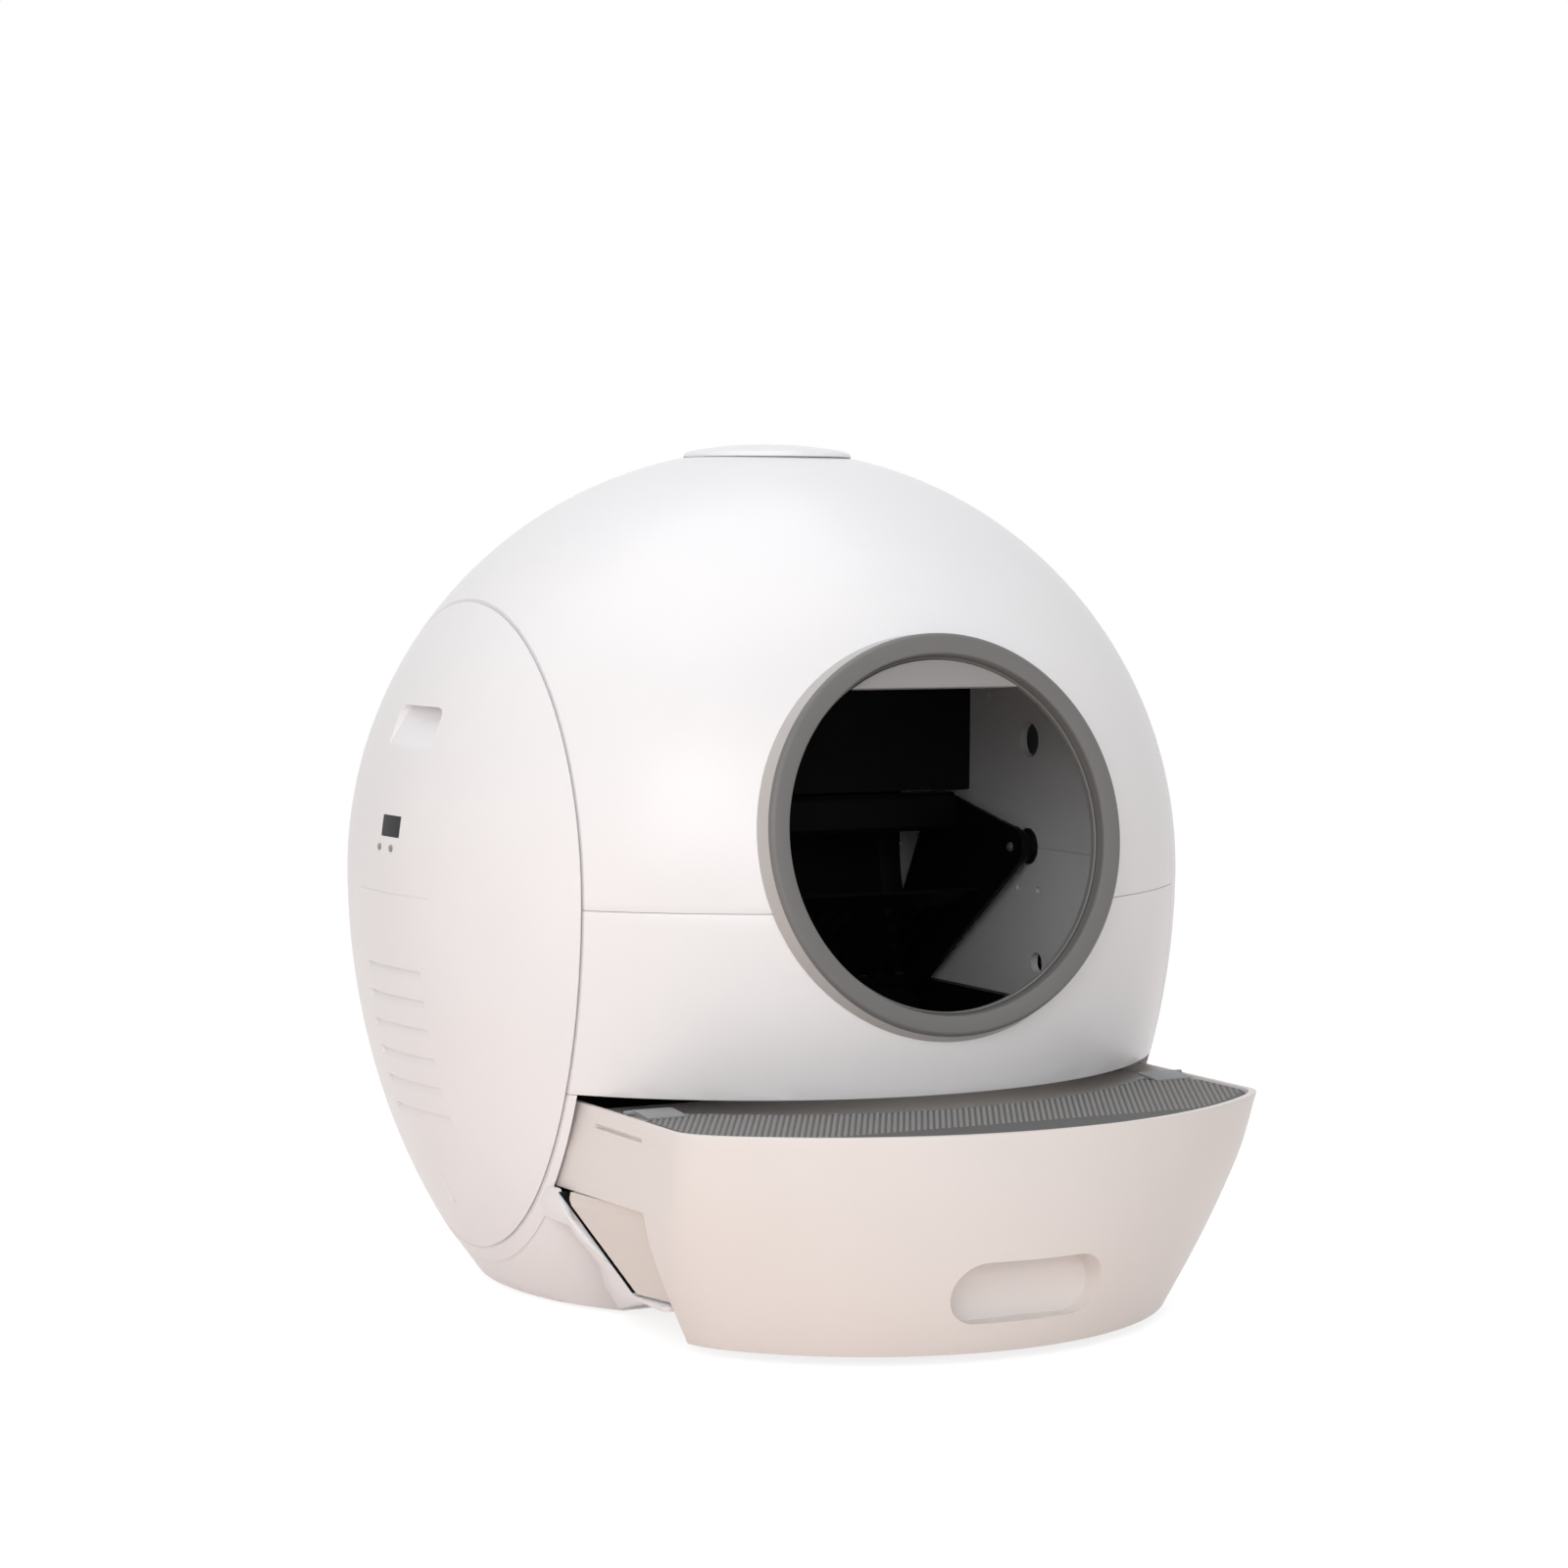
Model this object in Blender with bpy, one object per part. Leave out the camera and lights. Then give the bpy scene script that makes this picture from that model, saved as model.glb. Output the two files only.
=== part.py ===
"""Self cleaning litter box: a ball-shaped housing, a rake that sifts the litter tray, and a pull-out
waste drawer with a step mat. Metres, +Z up, the entrance faces -Y, the origin is under the middle."""
import math
import bpy
import bmesh
from mathutils import Vector

# Clearances and overruns
fit_gap = 0.0003
slide_gap = 0.0015
overrun = 0.010

# Ball-shaped body, measured from its centre
shell_radius = 0.310
front_depth_share = 0.941935
low_stretch_share = 1.33
shell_wall = 0.004
side_plane_share = 0.76129
side_wall = 0.006
seam_drop = 0.005
chin_drop_share = 0.429032
base_depth_share = 0.958065
base_floor = 0.015
foot_height = 0.003
foot_radius = 0.014
foot_circle_share = 0.532258
footprint_radius_share = 0.683871
footprint_run_share = 0.019355
footprint_rise_share = 0.019355
base_wall = 0.008
shell_steps = 60
shell_rows = 8
inside_steps = 40
inside_rows = 6
front_depth = shell_radius * front_depth_share
side_plane = shell_radius * side_plane_share
chin_drop = shell_radius * chin_drop_share
base_depth = shell_radius * base_depth_share
foot_circle = shell_radius * foot_circle_share
footprint_radius = shell_radius * footprint_radius_share
footprint_run = shell_radius * footprint_run_share
footprint_rise = shell_radius * footprint_rise_share

# Entrance ring and visor, in the ring's own plane
ring_outer_share = 0.439677
ring_inner_share = 0.388065
ring_rise_share = 0.141935
ring_front_share = 0.903226
ring_lean = math.radians(2.5)
ring_skirt_past = 0.006
ring_lip_depth = 0.010
ring_wall = 0.003
ring_edge = 0.002
ring_steps = 44
visor_chord_share = 0.319355
visor_wall = 0.003
visor_lip = 0.008
visor_setback = 0.008
sensor_width = 0.030
sensor_height = 0.012
sensor_depth = 0.010
ring_outer = shell_radius * ring_outer_share
ring_inner = shell_radius * ring_inner_share
ring_rise = shell_radius * ring_rise_share
ring_front = shell_radius * ring_front_share
visor_chord = shell_radius * visor_chord_share

# Cap, basket and filter on the top of the dome
cap_radius = 0.062
cap_rim = 0.002
cap_proud = 0.0038
basket_wall = 0.002
basket_depth = 0.030
flange_lap = 0.0055
basket_flange_thick = 0.0012
basket_vents = 3
basket_vent_share = 0.2
filter_gap = 0.0042
filter_height = 0.014
cap_steps = 28
cap_rows = 3
basket_flange = cap_radius - cap_rim
cap_hole_radius = basket_flange - flange_lap
basket_inner = cap_hole_radius - fit_gap - basket_wall
filter_radius = basket_inner - filter_gap

# Rake axle, shared by the walls, bushes, arms and gear
axle_rise = 0.008
axle_radius = 0.008
bush_radius = 0.0140
bush_flange_radius = 0.018
bush_flange = 0.0035
gear_width = 0.008
gear_module = 0.002
gear_teeth = 40
pinion_teeth = 12
addendum_share = 0.45
dedendum_share = 0.80
tooth_share = 0.36
tooth_taper_share = 0.12
mesh_angle = math.radians(-63)

# Rake
arm_thick = 0.004
hub_radius = 0.016
hub_tip_radius = 0.0108
hub_open_angles = (math.radians(70), math.radians(280))
sail_over = math.radians(6)
sail_margin = math.radians(3)
sail_shares = (0.93, 0.70)
sail_angle = math.radians(-20)
tray_end_gap = 0.002
beam_reach_share = 0.303226
beam_angle = math.radians(13.6)
beam_depth = 0.014
beam_height = 0.030
comb_angle = math.radians(-38)
comb_root_share = 0.193548
comb_slot_root_share = 0.277419
comb_bar = 0.010
comb_thick = 0.003
comb_bow = 0.010
comb_bow_shares = (0.0, 0.35, 1.0, 0.35, 0.0)
comb_tip_share = 0.4
tine_width = 0.0045
tine_count = 25
screw_radius = 0.0036
screw_head = 0.0024
screw_bevel_share = 0.7
screw_shank_radius = 0.0022
screw_shank = 0.009
beam_reach = shell_radius * beam_reach_share
comb_root = shell_radius * comb_root_share
comb_slot_root = shell_radius * comb_slot_root_share

# Litter tray
tray_inner_share = 0.66129
tray_wall = 0.003
rake_clear = 0.0025
tray_rim_drop_share = 0.354839
tray_flange = 0.006
cradle_place_share = 0.387097
cradle_thick = 0.006
cradle_half_share = 0.322581
tray_inner = shell_radius * tray_inner_share
tray_rim_drop = shell_radius * tray_rim_drop_share
cradle_place = shell_radius * cradle_place_share
cradle_half = shell_radius * cradle_half_share

# Black panel behind the tray
panel_place_share = 0.287097
panel_wall = 0.003
panel_gap = 0.0019
panel_top_share = 0.567742
panel_flange = 0.012
panel_place = shell_radius * panel_place_share
panel_top = shell_radius * panel_top_share

# Holes in the inner side walls: places behind the axle and above the centre
wall_hole_radius = 0.0135
wall_hole_rise = 0.0905
small_hole_radius = 0.0025
small_hole_place = 0.060
small_hole_rise = 0.122
low_hole_radius = 0.008
low_hole_place = 0.014
low_hole_drop = 0.0816
screw_hole_place = 0.0146
screw_hole_drop = 0.025

# Side covers
cover_gap = 0.0008
cover_wall = 0.003
cover_steps = 40
cover_rows = 4
pocket_length = 0.066
pocket_place = 0.0165
pocket_top_share = 0.406452
pocket_height = 0.028
pocket_depth = 0.0125
pocket_wall = 0.003
groove_length = 0.088
groove_height = 0.003
groove_depth = 0.0022
groove_place = 0.013
groove_count = 6
groove_first_drop_share = 0.187097
groove_pitch_share = 0.067097
recess_height = 0.023
recess_width = 0.008
recess_drop_share = 0.708065
window_length = 0.028
window_height = 0.0145
window_rise = 0.042
window_place = 0.0175
window_thick = 0.0025
button_radius = 0.0022
button_length = 0.007
button_rise = 0.0265
button_places = (-0.0025, -0.0215)
button_proud = 0.0008
pocket_top = shell_radius * pocket_top_share
groove_first_drop = shell_radius * groove_first_drop_share
groove_pitch = shell_radius * groove_pitch_share
recess_drop = shell_radius * recess_drop_share

# Drive unit in the left side space
motor_radius = 0.017
motor_length_share = 0.116129
bracket_thick = 0.002
bracket_height = 0.060
bracket_depth = 0.046
post_radius = 0.004
post_spacing = 0.040
post_place = 0.018
board_length = 0.060
board_height = 0.076
board_thick = 0.0016
board_drop = 0.075
board_place = 0.081
board_standoff = 0.006
standoff_radius = 0.003
switch_length = 0.020
switch_height = 0.010
switch_depth = 0.0105
switch_place = 0.040
switch_drop = 0.040
inlet_place = 0.080
inlet_drop_share = 0.693548
inlet_radius = 0.008
inlet_bore = 0.0035
inlet_bore_depth = 0.009
inlet_length = 0.016
motor_length = shell_radius * motor_length_share
inlet_drop = shell_radius * inlet_drop_share

# Drawer: outline sizes at five heights, from its rim down
drawer_rim_drop_share = 0.448387
drawer_bottom_drop_share = 0.945161
drawer_level_shares = (0.0, 0.27, 0.53, 0.76, 1.0)
drawer_half_width_shares = (0.732258, 0.716774, 0.689677, 0.654516, 0.606129)
drawer_rear_half_shares = (0.732258, 0.743548, 0.743548, 0.680645, 0.612903)
drawer_corner_shares = (1.03226, 0.989355, 0.932258, 0.88129, 0.83871)
drawer_front_shares = (1.30645, 1.29355, 1.26452, 1.22581, 1.17097)
drawer_wall = 0.004
drawer_arc_steps = 16
band_drop_share = 0.650645
band_back_share = 0.354839
skirt_back_share = 0.806452
tray_clear_gap = 0.0045
pull_length = 0.116
pull_height = 0.044
pull_drop_share = 0.803226
pull_floor_share = 1.13548
pull_wall = 0.003
pull_steps = 8
drawer_rim_drop = shell_radius * drawer_rim_drop_share
drawer_bottom_drop = shell_radius * drawer_bottom_drop_share
drawer_half_widths = tuple(shell_radius * share for share in drawer_half_width_shares)
drawer_rear_halves = tuple(shell_radius * share for share in drawer_rear_half_shares)
drawer_corners = tuple(shell_radius * share for share in drawer_corner_shares)
drawer_fronts = tuple(shell_radius * share for share in drawer_front_shares)
band_drop = shell_radius * band_drop_share
band_back = shell_radius * band_back_share
skirt_back = shell_radius * skirt_back_share
pull_drop = shell_radius * pull_drop_share
pull_floor = shell_radius * pull_floor_share

# Base front: slanted edge, cheeks and ledge under the drawer
slant_top_shares = (0.475806, 0.670968)
slant_foot_shares = (0.646774, 0.864516)
slant_wall = 0.006
cheek_half_shares = (0.759677, 0.759677, 0.734194, 0.679355, 0.656774, 0.609032, 0.601935)
cheek_drop_shares = (0.650645, 0.693548, 0.748387, 0.819355, 0.870968, 0.940323, 0.954839)
nose_reach_share = 0.790323
nose_start_share = 0.380645
nose_bend_share = 0.66129
ledge_thick = 0.0035
tongue_half_share = 0.554839
tongue_reach_share = 0.912903
glide_width = 0.010
glide_thick = 0.002
glide_place_share = 0.387097
slant_top = tuple(shell_radius * share for share in slant_top_shares)
slant_foot = tuple(shell_radius * share for share in slant_foot_shares)
cheek_halves = tuple(shell_radius * share for share in cheek_half_shares)
cheek_drops = tuple(shell_radius * share for share in cheek_drop_shares)
nose_reach = shell_radius * nose_reach_share
nose_start = shell_radius * nose_start_share
nose_bend = shell_radius * nose_bend_share
tongue_half = shell_radius * tongue_half_share
tongue_reach = shell_radius * tongue_reach_share
glide_place = shell_radius * glide_place_share

# Waste bin
bin_clear = 0.0008
bin_wall = 0.0025
bin_top_gap = 0.0075
bin_slant_gap = 0.0025

# Step mat and its hinge clips
mat_thick = 0.003
mat_seat_gap = 0.0045
mat_edge_gap = 0.0015
mat_back_half_width_share = 0.967742
mat_back_depth_share = 0.935484
hinge_place_share = 0.724194
hinge_rise = 0.0005
mat_back_stop_share = 0.733871
clip_inner_share = 0.603226
clip_outer_share = 0.698387
clip_length = 0.022
clip_thick = 0.002
clip_pin_radius = 0.0018
mat_back_half_width = shell_radius * mat_back_half_width_share
mat_back_depth = shell_radius * mat_back_depth_share
hinge_place = shell_radius * hinge_place_share
mat_back_stop = shell_radius * mat_back_stop_share
clip_inner = shell_radius * clip_inner_share
clip_outer = shell_radius * clip_outer_share

# Places worked out from the sizes above
centre_height = base_depth + foot_height
body_offset = (drawer_fronts[0] - shell_radius) / 2
inner_radius = shell_radius - shell_wall
wall_inner = side_plane - side_wall
tray_outer = tray_inner + tray_wall
tray_clear_radius = tray_outer + tray_clear_gap
rake_reach = tray_inner - rake_clear
bin_top_drop = drawer_rim_drop + bin_top_gap
mat_drop = drawer_rim_drop + mat_seat_gap
hinge_drop = drawer_rim_drop - hinge_rise
tray_half = wall_inner - tray_flange - fit_gap
tray_inner_half = tray_half - tray_wall
arm_outer = tray_inner_half - tray_end_gap
arm_inner = arm_outer - arm_thick
gear_start = side_plane + fit_gap + bush_flange + slide_gap
gear_pitch = gear_module * gear_teeth / 2
pinion_pitch = gear_module * pinion_teeth / 2
mesh_distance = gear_pitch + pinion_pitch
panel_bottom = axle_rise + beam_reach * math.sin(beam_angle) + beam_height / 2 + panel_gap
bracket_start = gear_start + gear_width + slide_gap

colours = {
    "white": ((0.86, 0.86, 0.87), 0.35),
    "warm_white": ((0.82, 0.78, 0.76), 0.38),
    "ring_grey": ((0.14, 0.14, 0.14), 0.55),
    "visor_grey": ((0.30, 0.30, 0.31), 0.45),
    "black": ((0.012, 0.012, 0.014), 0.42),
    "mat_grey": ((0.22, 0.21, 0.21), 0.75),
    "clip_grey": ((0.27, 0.28, 0.29), 0.50),
    "screen_black": ((0.006, 0.006, 0.008), 0.12),
    "button_grey": ((0.30, 0.30, 0.31), 0.50),
    "gear_white": ((0.72, 0.71, 0.66), 0.40),
    "steel": ((0.55, 0.55, 0.56), 0.30),
    "board_green": ((0.03, 0.16, 0.07), 0.45),
    "rubber": ((0.03, 0.03, 0.03), 0.85),
    "carbon": ((0.035, 0.035, 0.038), 0.90),
}
metals = ("steel",)


def clear_scene():
    for item in list(bpy.data.objects):
        bpy.data.objects.remove(item, do_unlink=True)


def material(key):
    found = bpy.data.materials.get(key)
    if found:
        return found
    made = bpy.data.materials.new(key)
    made.use_nodes = True
    shader = made.node_tree.nodes["Principled BSDF"]
    colour, roughness = colours[key]
    shader.inputs["Base Color"].default_value = (*colour, 1)
    shader.inputs["Roughness"].default_value = roughness
    shader.inputs["Metallic"].default_value = 1 if key in metals else 0
    made.diffuse_color = (*colour, 1)
    return made


def empty(name, place, parent=None, turn=(0, 0, 0)):
    item = bpy.data.objects.new(name, None)
    item.location = place
    item.rotation_euler = turn
    item.parent = parent
    bpy.context.collection.objects.link(item)
    return item


def finish(name, bm, key, parent, smooth=True):
    """Turns a closed bmesh into a named object with its own material."""
    bmesh.ops.recalc_face_normals(bm, faces=bm.faces)
    mesh = bpy.data.meshes.new(name)
    bm.to_mesh(mesh)
    bm.free()
    if smooth:
        mesh.shade_smooth()
        mesh.set_sharp_from_angle(angle=math.radians(30))
    item = bpy.data.objects.new(name, mesh)
    if key:
        mesh.materials.append(material(key))
    item.parent = parent
    bpy.context.collection.objects.link(item)
    return item


def tool(name, bm, parent):
    """A cutter or an added form: it shapes other pieces and is not a piece itself."""
    item = finish(name, bm, None, parent, smooth=False)
    item.hide_render = True
    item.display_type = 'WIRE'
    return item


def shape(target, other, operation='DIFFERENCE'):
    change = target.modifiers.new(other.name, 'BOOLEAN')
    change.operation = operation
    change.solver = 'EXACT'
    change.object = other


def loft(sections):
    """A closed skin through loops of equal point count, with a flat cap on each end."""
    bm = bmesh.new()
    loops = [[bm.verts.new(point) for point in section] for section in sections]
    for low, high in zip(loops, loops[1:]):
        for i in range(len(low)):
            j = (i + 1) % len(low)
            bm.faces.new((low[i], low[j], high[j], high[i]))
    bm.faces.new(loops[0])
    bm.faces.new(loops[-1])
    return bm


def prism(outline, start, end, axis):
    """Extrudes a flat outline along X (y, z), Y (x, z) or Z (x, y)."""
    if axis == 'X':
        ends = [[(depth, a, b) for a, b in outline] for depth in (start, end)]
    elif axis == 'Y':
        ends = [[(a, depth, b) for a, b in outline] for depth in (start, end)]
    else:
        ends = [[(a, b, depth) for a, b in outline] for depth in (start, end)]
    return loft(ends)


def box(low, high):
    outline = [(low[0], low[1]), (high[0], low[1]), (high[0], high[1]), (low[0], high[1])]
    return prism(outline, low[2], high[2], 'Z')


def together(forms):
    """Puts several separate forms into one mesh."""
    bm = bmesh.new()
    for form in forms:
        mesh = bpy.data.meshes.new("form")
        form.to_mesh(mesh)
        form.free()
        bm.from_mesh(mesh)
        bpy.data.meshes.remove(mesh)
    return bm


def lathe(profile, steps, axis, closed=True):
    """Turns a profile of (radius, height) about an axis; a radius of 0 makes a pole.
    An open profile that ends off the axis gets a flat cap there."""
    bm = bmesh.new()
    rings = []
    for radius, height in profile:
        count = 1 if radius == 0 else steps
        ring = []
        for i in range(count):
            angle = 2 * math.pi * i / steps
            a, b = radius * math.cos(angle), radius * math.sin(angle)
            place = {'X': (height, a, b), 'Y': (a, height, b), 'Z': (a, b, height)}[axis]
            ring.append(bm.verts.new(place))
        rings.append(ring)
    pairs = list(zip(rings, rings[1:]))
    if closed:
        pairs.append((rings[-1], rings[0]))
    for one, two in pairs:
        if len(one) == 1 and len(two) == 1:
            continue
        for i in range(steps):
            j = (i + 1) % steps
            corners = [one[i % len(one)], one[j % len(one)], two[j % len(two)], two[i % len(two)]]
            bm.faces.new(list(dict.fromkeys(corners)))
    if not closed:
        for ring in (rings[0], rings[-1]):
            if len(ring) > 1:
                bm.faces.new(ring)
    return bm


def cylinder(radius, start, end, axis, steps=24, centre=(0, 0, 0)):
    bm = lathe([(radius, start), (radius, end)], steps, axis, closed=False)
    bmesh.ops.translate(bm, verts=bm.verts, vec=Vector(centre))
    return bm


def arc(radius, first, last, count, centre=(0, 0)):
    """Points on an arc from one angle to another."""
    points = []
    for i in range(count + 1):
        angle = first + (last - first) * i / count
        points.append((centre[0] + radius * math.cos(angle), centre[1] + radius * math.sin(angle)))
    return points


def pill(length, height, steps):
    """Outline with two half-round ends, centred on zero."""
    radius = height / 2
    reach = length / 2 - radius
    right = arc(radius, -math.pi / 2, math.pi / 2, steps, (reach, 0))
    left = arc(radius, math.pi / 2, math.pi * 3 / 2, steps, (-reach, 0))
    return right + left


def body_form(bm):
    """Gives a ball its real form: longer below its middle and flatter in front."""
    for vert in bm.verts:
        if vert.co.z < 0:
            vert.co.z *= low_stretch_share
        if vert.co.y < 0:
            vert.co.y *= front_depth / shell_radius


def ball_slice(radius, half_width, steps=shell_steps, rows=shell_rows):
    """The middle of the ball between two upright planes."""
    half_angle = math.asin(half_width / radius)
    profile = []
    for i in range(rows + 1):
        angle = half_angle * (2 * i / rows - 1)
        profile.append((radius * math.cos(angle), radius * math.sin(angle)))
    bm = lathe(profile, steps, 'X', closed=False)
    body_form(bm)
    return bm


def slab(name, frame, low, high):
    """A cutter that takes everything between two heights."""
    reach = shell_radius + overrun
    return tool(name, box((-reach, -reach, low), (reach, reach, high)), frame)


def wall_hole_tools(frame):
    """One cutter for each hole that goes through both inner side walls."""
    holes = (("axle_bore", bush_radius + fit_gap, 0, axle_rise),
             ("upper_wall_hole", wall_hole_radius, 0, wall_hole_rise),
             ("cable_hole", small_hole_radius, small_hole_place, small_hole_rise),
             ("lower_wall_hole", low_hole_radius, -low_hole_place, -low_hole_drop),
             ("front_screw_hole", small_hole_radius, -screw_hole_place, -screw_hole_drop),
             ("rear_screw_hole", small_hole_radius, screw_hole_place, -screw_hole_drop))
    reach = side_plane + overrun
    tools = {}
    for name, radius, place, rise in holes:
        bm = cylinder(radius, -reach, reach, 'X', centre=(0, place, rise))
        tools[name] = tool(name + "_cut", bm, frame)
    return tools


def make_housings(frame, ring_frame):
    """Upper and lower housing: one ball skin with closed sides, parted at the seam."""
    hollow = ball_slice(inner_radius, wall_inner, inside_steps, inside_rows)
    hollow = tool("housing_hollow", hollow, frame)
    deep = shell_depth(0, ring_outer) + overrun * 2
    entrance = cylinder(ring_outer + fit_gap, -overrun * 3, deep, 'Y', ring_steps)
    entrance = tool("entrance_hole", entrance, ring_frame)
    holes = wall_hole_tools(frame)
    top = shell_radius + overrun
    bottom = shell_radius * low_stretch_share + overrun
    seam_reach = shell_radius + overrun
    upper = finish("upper_housing", ball_slice(shell_radius, side_plane), "white", frame)
    shape(upper, hollow)
    shape(upper, slab("below_seam", frame, -bottom, -seam_drop))
    for side, name in ((-1, "left"), (1, "right")):
        ends = sorted((side * (wall_inner - fit_gap * 2), side * (side_plane + overrun)))
        bm = box((ends[0], -seam_reach, -overrun * 2), (ends[1], seam_reach, axle_rise))
        shape(upper, tool(name + "_wall_top", bm, frame))
    cap_hole = cylinder(cap_hole_radius, 0, top, 'Z', cap_steps)
    shape(upper, tool("cap_hole", cap_hole, frame))
    shape(upper, entrance)
    for key in ("axle_bore", "upper_wall_hole", "cable_hole"):
        shape(upper, holes[key])
    lower = finish("lower_housing", ball_slice(shell_radius, side_plane), "white", frame)
    shape(lower, hollow)
    shape(lower, slab("above_axle", frame, axle_rise - fit_gap, top))
    band = box((-wall_inner + fit_gap, -seam_reach, -seam_drop - fit_gap),
               (wall_inner - fit_gap, seam_reach, overrun * 2))
    shape(lower, tool("above_seam", band, frame))
    shape(lower, slab("below_chin", frame, -bottom, -chin_drop))
    shape(lower, entrance)
    for key in ("axle_bore", "lower_wall_hole", "front_screw_hole", "rear_screw_hole"):
        shape(lower, holes[key])
    return upper, lower


def bin_profile(shift, top, floor):
    """Side view of the waste bin: its rear follows the base's slanted edge, moved forward by a gap."""
    rear = -slant_top[0] - shift
    far = -drawer_fronts[0] - overrun
    return [(rear, top), (rear, -slant_top[1]), (-slant_foot[0] - shift, floor), (far, floor), (far, top)]


def make_base(frame):
    """Floor pan with the rear of the ball skin, cheeks and a ledge that the drawer slides on."""
    base = finish("base", ball_slice(shell_radius, side_plane), "white", frame)
    top = shell_radius + overrun
    bottom = shell_radius * low_stretch_share + overrun
    right = [(half, -drop) for half, drop in zip(cheek_halves, cheek_drops)]
    cheek = [(-x, z) for x, z in right] + list(reversed(right))
    shape(base, slab("above_base", frame, -chin_drop - fit_gap, top))
    shape(base, slab("below_base", frame, -bottom, -base_depth))
    rim = [(footprint_radius, -base_depth - overrun), (footprint_radius, -base_depth),
           (footprint_radius + footprint_run * 2, -base_depth + footprint_rise * 2),
           (top, -base_depth - overrun)]
    shape(base, tool("footprint_round", lathe(rim, shell_steps, 'Z'), frame))
    shape(base, tool("cheeks", prism(cheek, -nose_reach, 0, 'Y'), frame), 'UNION')
    ledge_low = -slant_foot[1] - ledge_thick
    tongue = box((-tongue_half, -tongue_reach, ledge_low - slide_gap),
                 (tongue_half, 0, -slant_foot[1] + slide_gap))
    shape(base, tool("drawer_ledge", tongue, frame), 'UNION')
    far = -drawer_fronts[0] - overrun
    under = [(-nose_start, -base_depth - overrun), (-nose_start, -base_depth), (-nose_bend, ledge_low),
             (far, ledge_low), (far, -base_depth - overrun)]
    shape(base, tool("nose_underside", prism(under, -top, top, 'X'), frame))
    floor = -base_depth + base_floor
    inside = -slant_top[0] + slant_wall
    wide = -front_depth
    heel = -slant_foot[0] + slant_wall * 2
    back = shell_radius
    profile = [(back, -chin_drop + overrun), (wide, -chin_drop + overrun), (wide, -slant_top[1]),
               (inside, -slant_top[1]), (heel, -slant_foot[1] + slant_wall), (heel, -slant_foot[1]),
               (-nose_start - base_floor, floor), (back, floor)]
    cavity = ball_slice(shell_radius - base_wall, wall_inner, inside_steps, inside_rows)
    cavity = tool("base_cavity", cavity, frame)
    shape(cavity, tool("base_cavity_limits", prism(profile, -top, top, 'X'), frame), 'INTERSECT')
    shape(base, cavity)
    line = (slant_foot[0] - slant_top[0]) / (slant_foot[1] - slant_top[1])
    start = -slant_top[0] + line * (slant_top[1] - band_drop + fit_gap)
    low_bay = [(start, -band_drop + fit_gap), (-slant_foot[0], -slant_foot[1]), (far, -slant_foot[1]),
               (far, -band_drop + fit_gap)]
    shape(base, tool("drawer_bay_low", prism(low_bay, -top, top, 'X'), frame))
    bay_half = max(drawer_rear_halves) + slide_gap
    bay = box((-bay_half, far, -slant_top[1] + fit_gap),
              (bay_half, -band_back + slide_gap, -chin_drop + overrun))
    shape(base, tool("drawer_bay", bay, frame))
    for side, name in ((-1, "left"), (1, "right")):
        shape(base, tool(name + "_cradle", cradle_form(side), frame), 'UNION')
    inlet = cylinder(inlet_radius + fit_gap, 0, top, 'Y', centre=(-inlet_place, 0, -inlet_drop))
    shape(base, tool("inlet_hole", inlet, frame))
    return base


def cradle_form(side):
    """A saddle rib on the base floor, hollowed to the tray's round underside."""
    radius = tray_outer + fit_gap
    half_angle = math.asin(cradle_half / radius)
    saddle = arc(radius, -math.pi / 2 - half_angle, -math.pi / 2 + half_angle, shell_rows * 2, (0, axle_rise))
    foot = -base_depth + base_floor / 2
    outline = saddle + [(cradle_half, foot), (-cradle_half, foot)]
    start = side * cradle_place - cradle_thick / 2
    return prism(outline, start, start + cradle_thick, 'X')


def shell_depth(x, z):
    """How far the shell's inner face lies behind the ring's plane, at a place on the ring."""
    rise = ring_rise + z
    if rise < 0:
        rise /= low_stretch_share
    return ring_front - front_depth_share * math.sqrt(inner_radius ** 2 - x ** 2 - rise ** 2)


def make_entrance(ring_frame):
    """Grey ring, its visor and the motion sensor behind the visor."""
    inner_wall = ring_inner + ring_wall
    outer_wall = ring_outer - ring_wall
    deep = shell_depth(0, ring_outer)
    profile = [(ring_inner, ring_edge), (ring_inner + ring_edge, 0), (ring_outer - ring_edge, 0),
               (ring_outer, ring_edge), (ring_outer, deep), (outer_wall, deep),
               (outer_wall, ring_wall), (inner_wall, ring_wall), (inner_wall, ring_lip_depth),
               (ring_inner, ring_lip_depth)]
    ring = lathe(profile, ring_steps, 'Y')
    for vert in ring.verts:
        if vert.co.y > (deep + ring_lip_depth) / 2:
            vert.co.y = max(shell_depth(vert.co.x, vert.co.z) + ring_skirt_past, ring_lip_depth)
    finish("entrance_ring", ring, "ring_grey", ring_frame)
    radius = ring_inner * math.cos(math.pi / ring_steps) - fit_gap
    reach = math.acos(visor_chord / radius)
    outline = arc(radius, math.pi / 2 - reach, math.pi / 2 + reach, ring_steps // 4)
    start = visor_setback
    visor = finish("sensor_visor", prism(outline, start, start + visor_wall, 'Y'), "visor_grey", ring_frame)
    half_chord = radius * math.sin(reach) - visor_wall * 2
    lip = box((-half_chord, start + visor_wall / 2, visor_chord),
              (half_chord, start + visor_lip, visor_chord + visor_wall))
    shape(visor, tool("visor_lip_form", lip, ring_frame), 'UNION')
    low = (-sensor_width / 2, start + visor_wall + fit_gap, visor_chord + visor_wall + fit_gap)
    high = (sensor_width / 2, low[1] + sensor_depth, low[2] + sensor_height)
    finish("motion_sensor", box(low, high), "black", ring_frame, smooth=False)


def ball_height(radius, reach):
    return math.sqrt(radius * radius - reach * reach)


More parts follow.
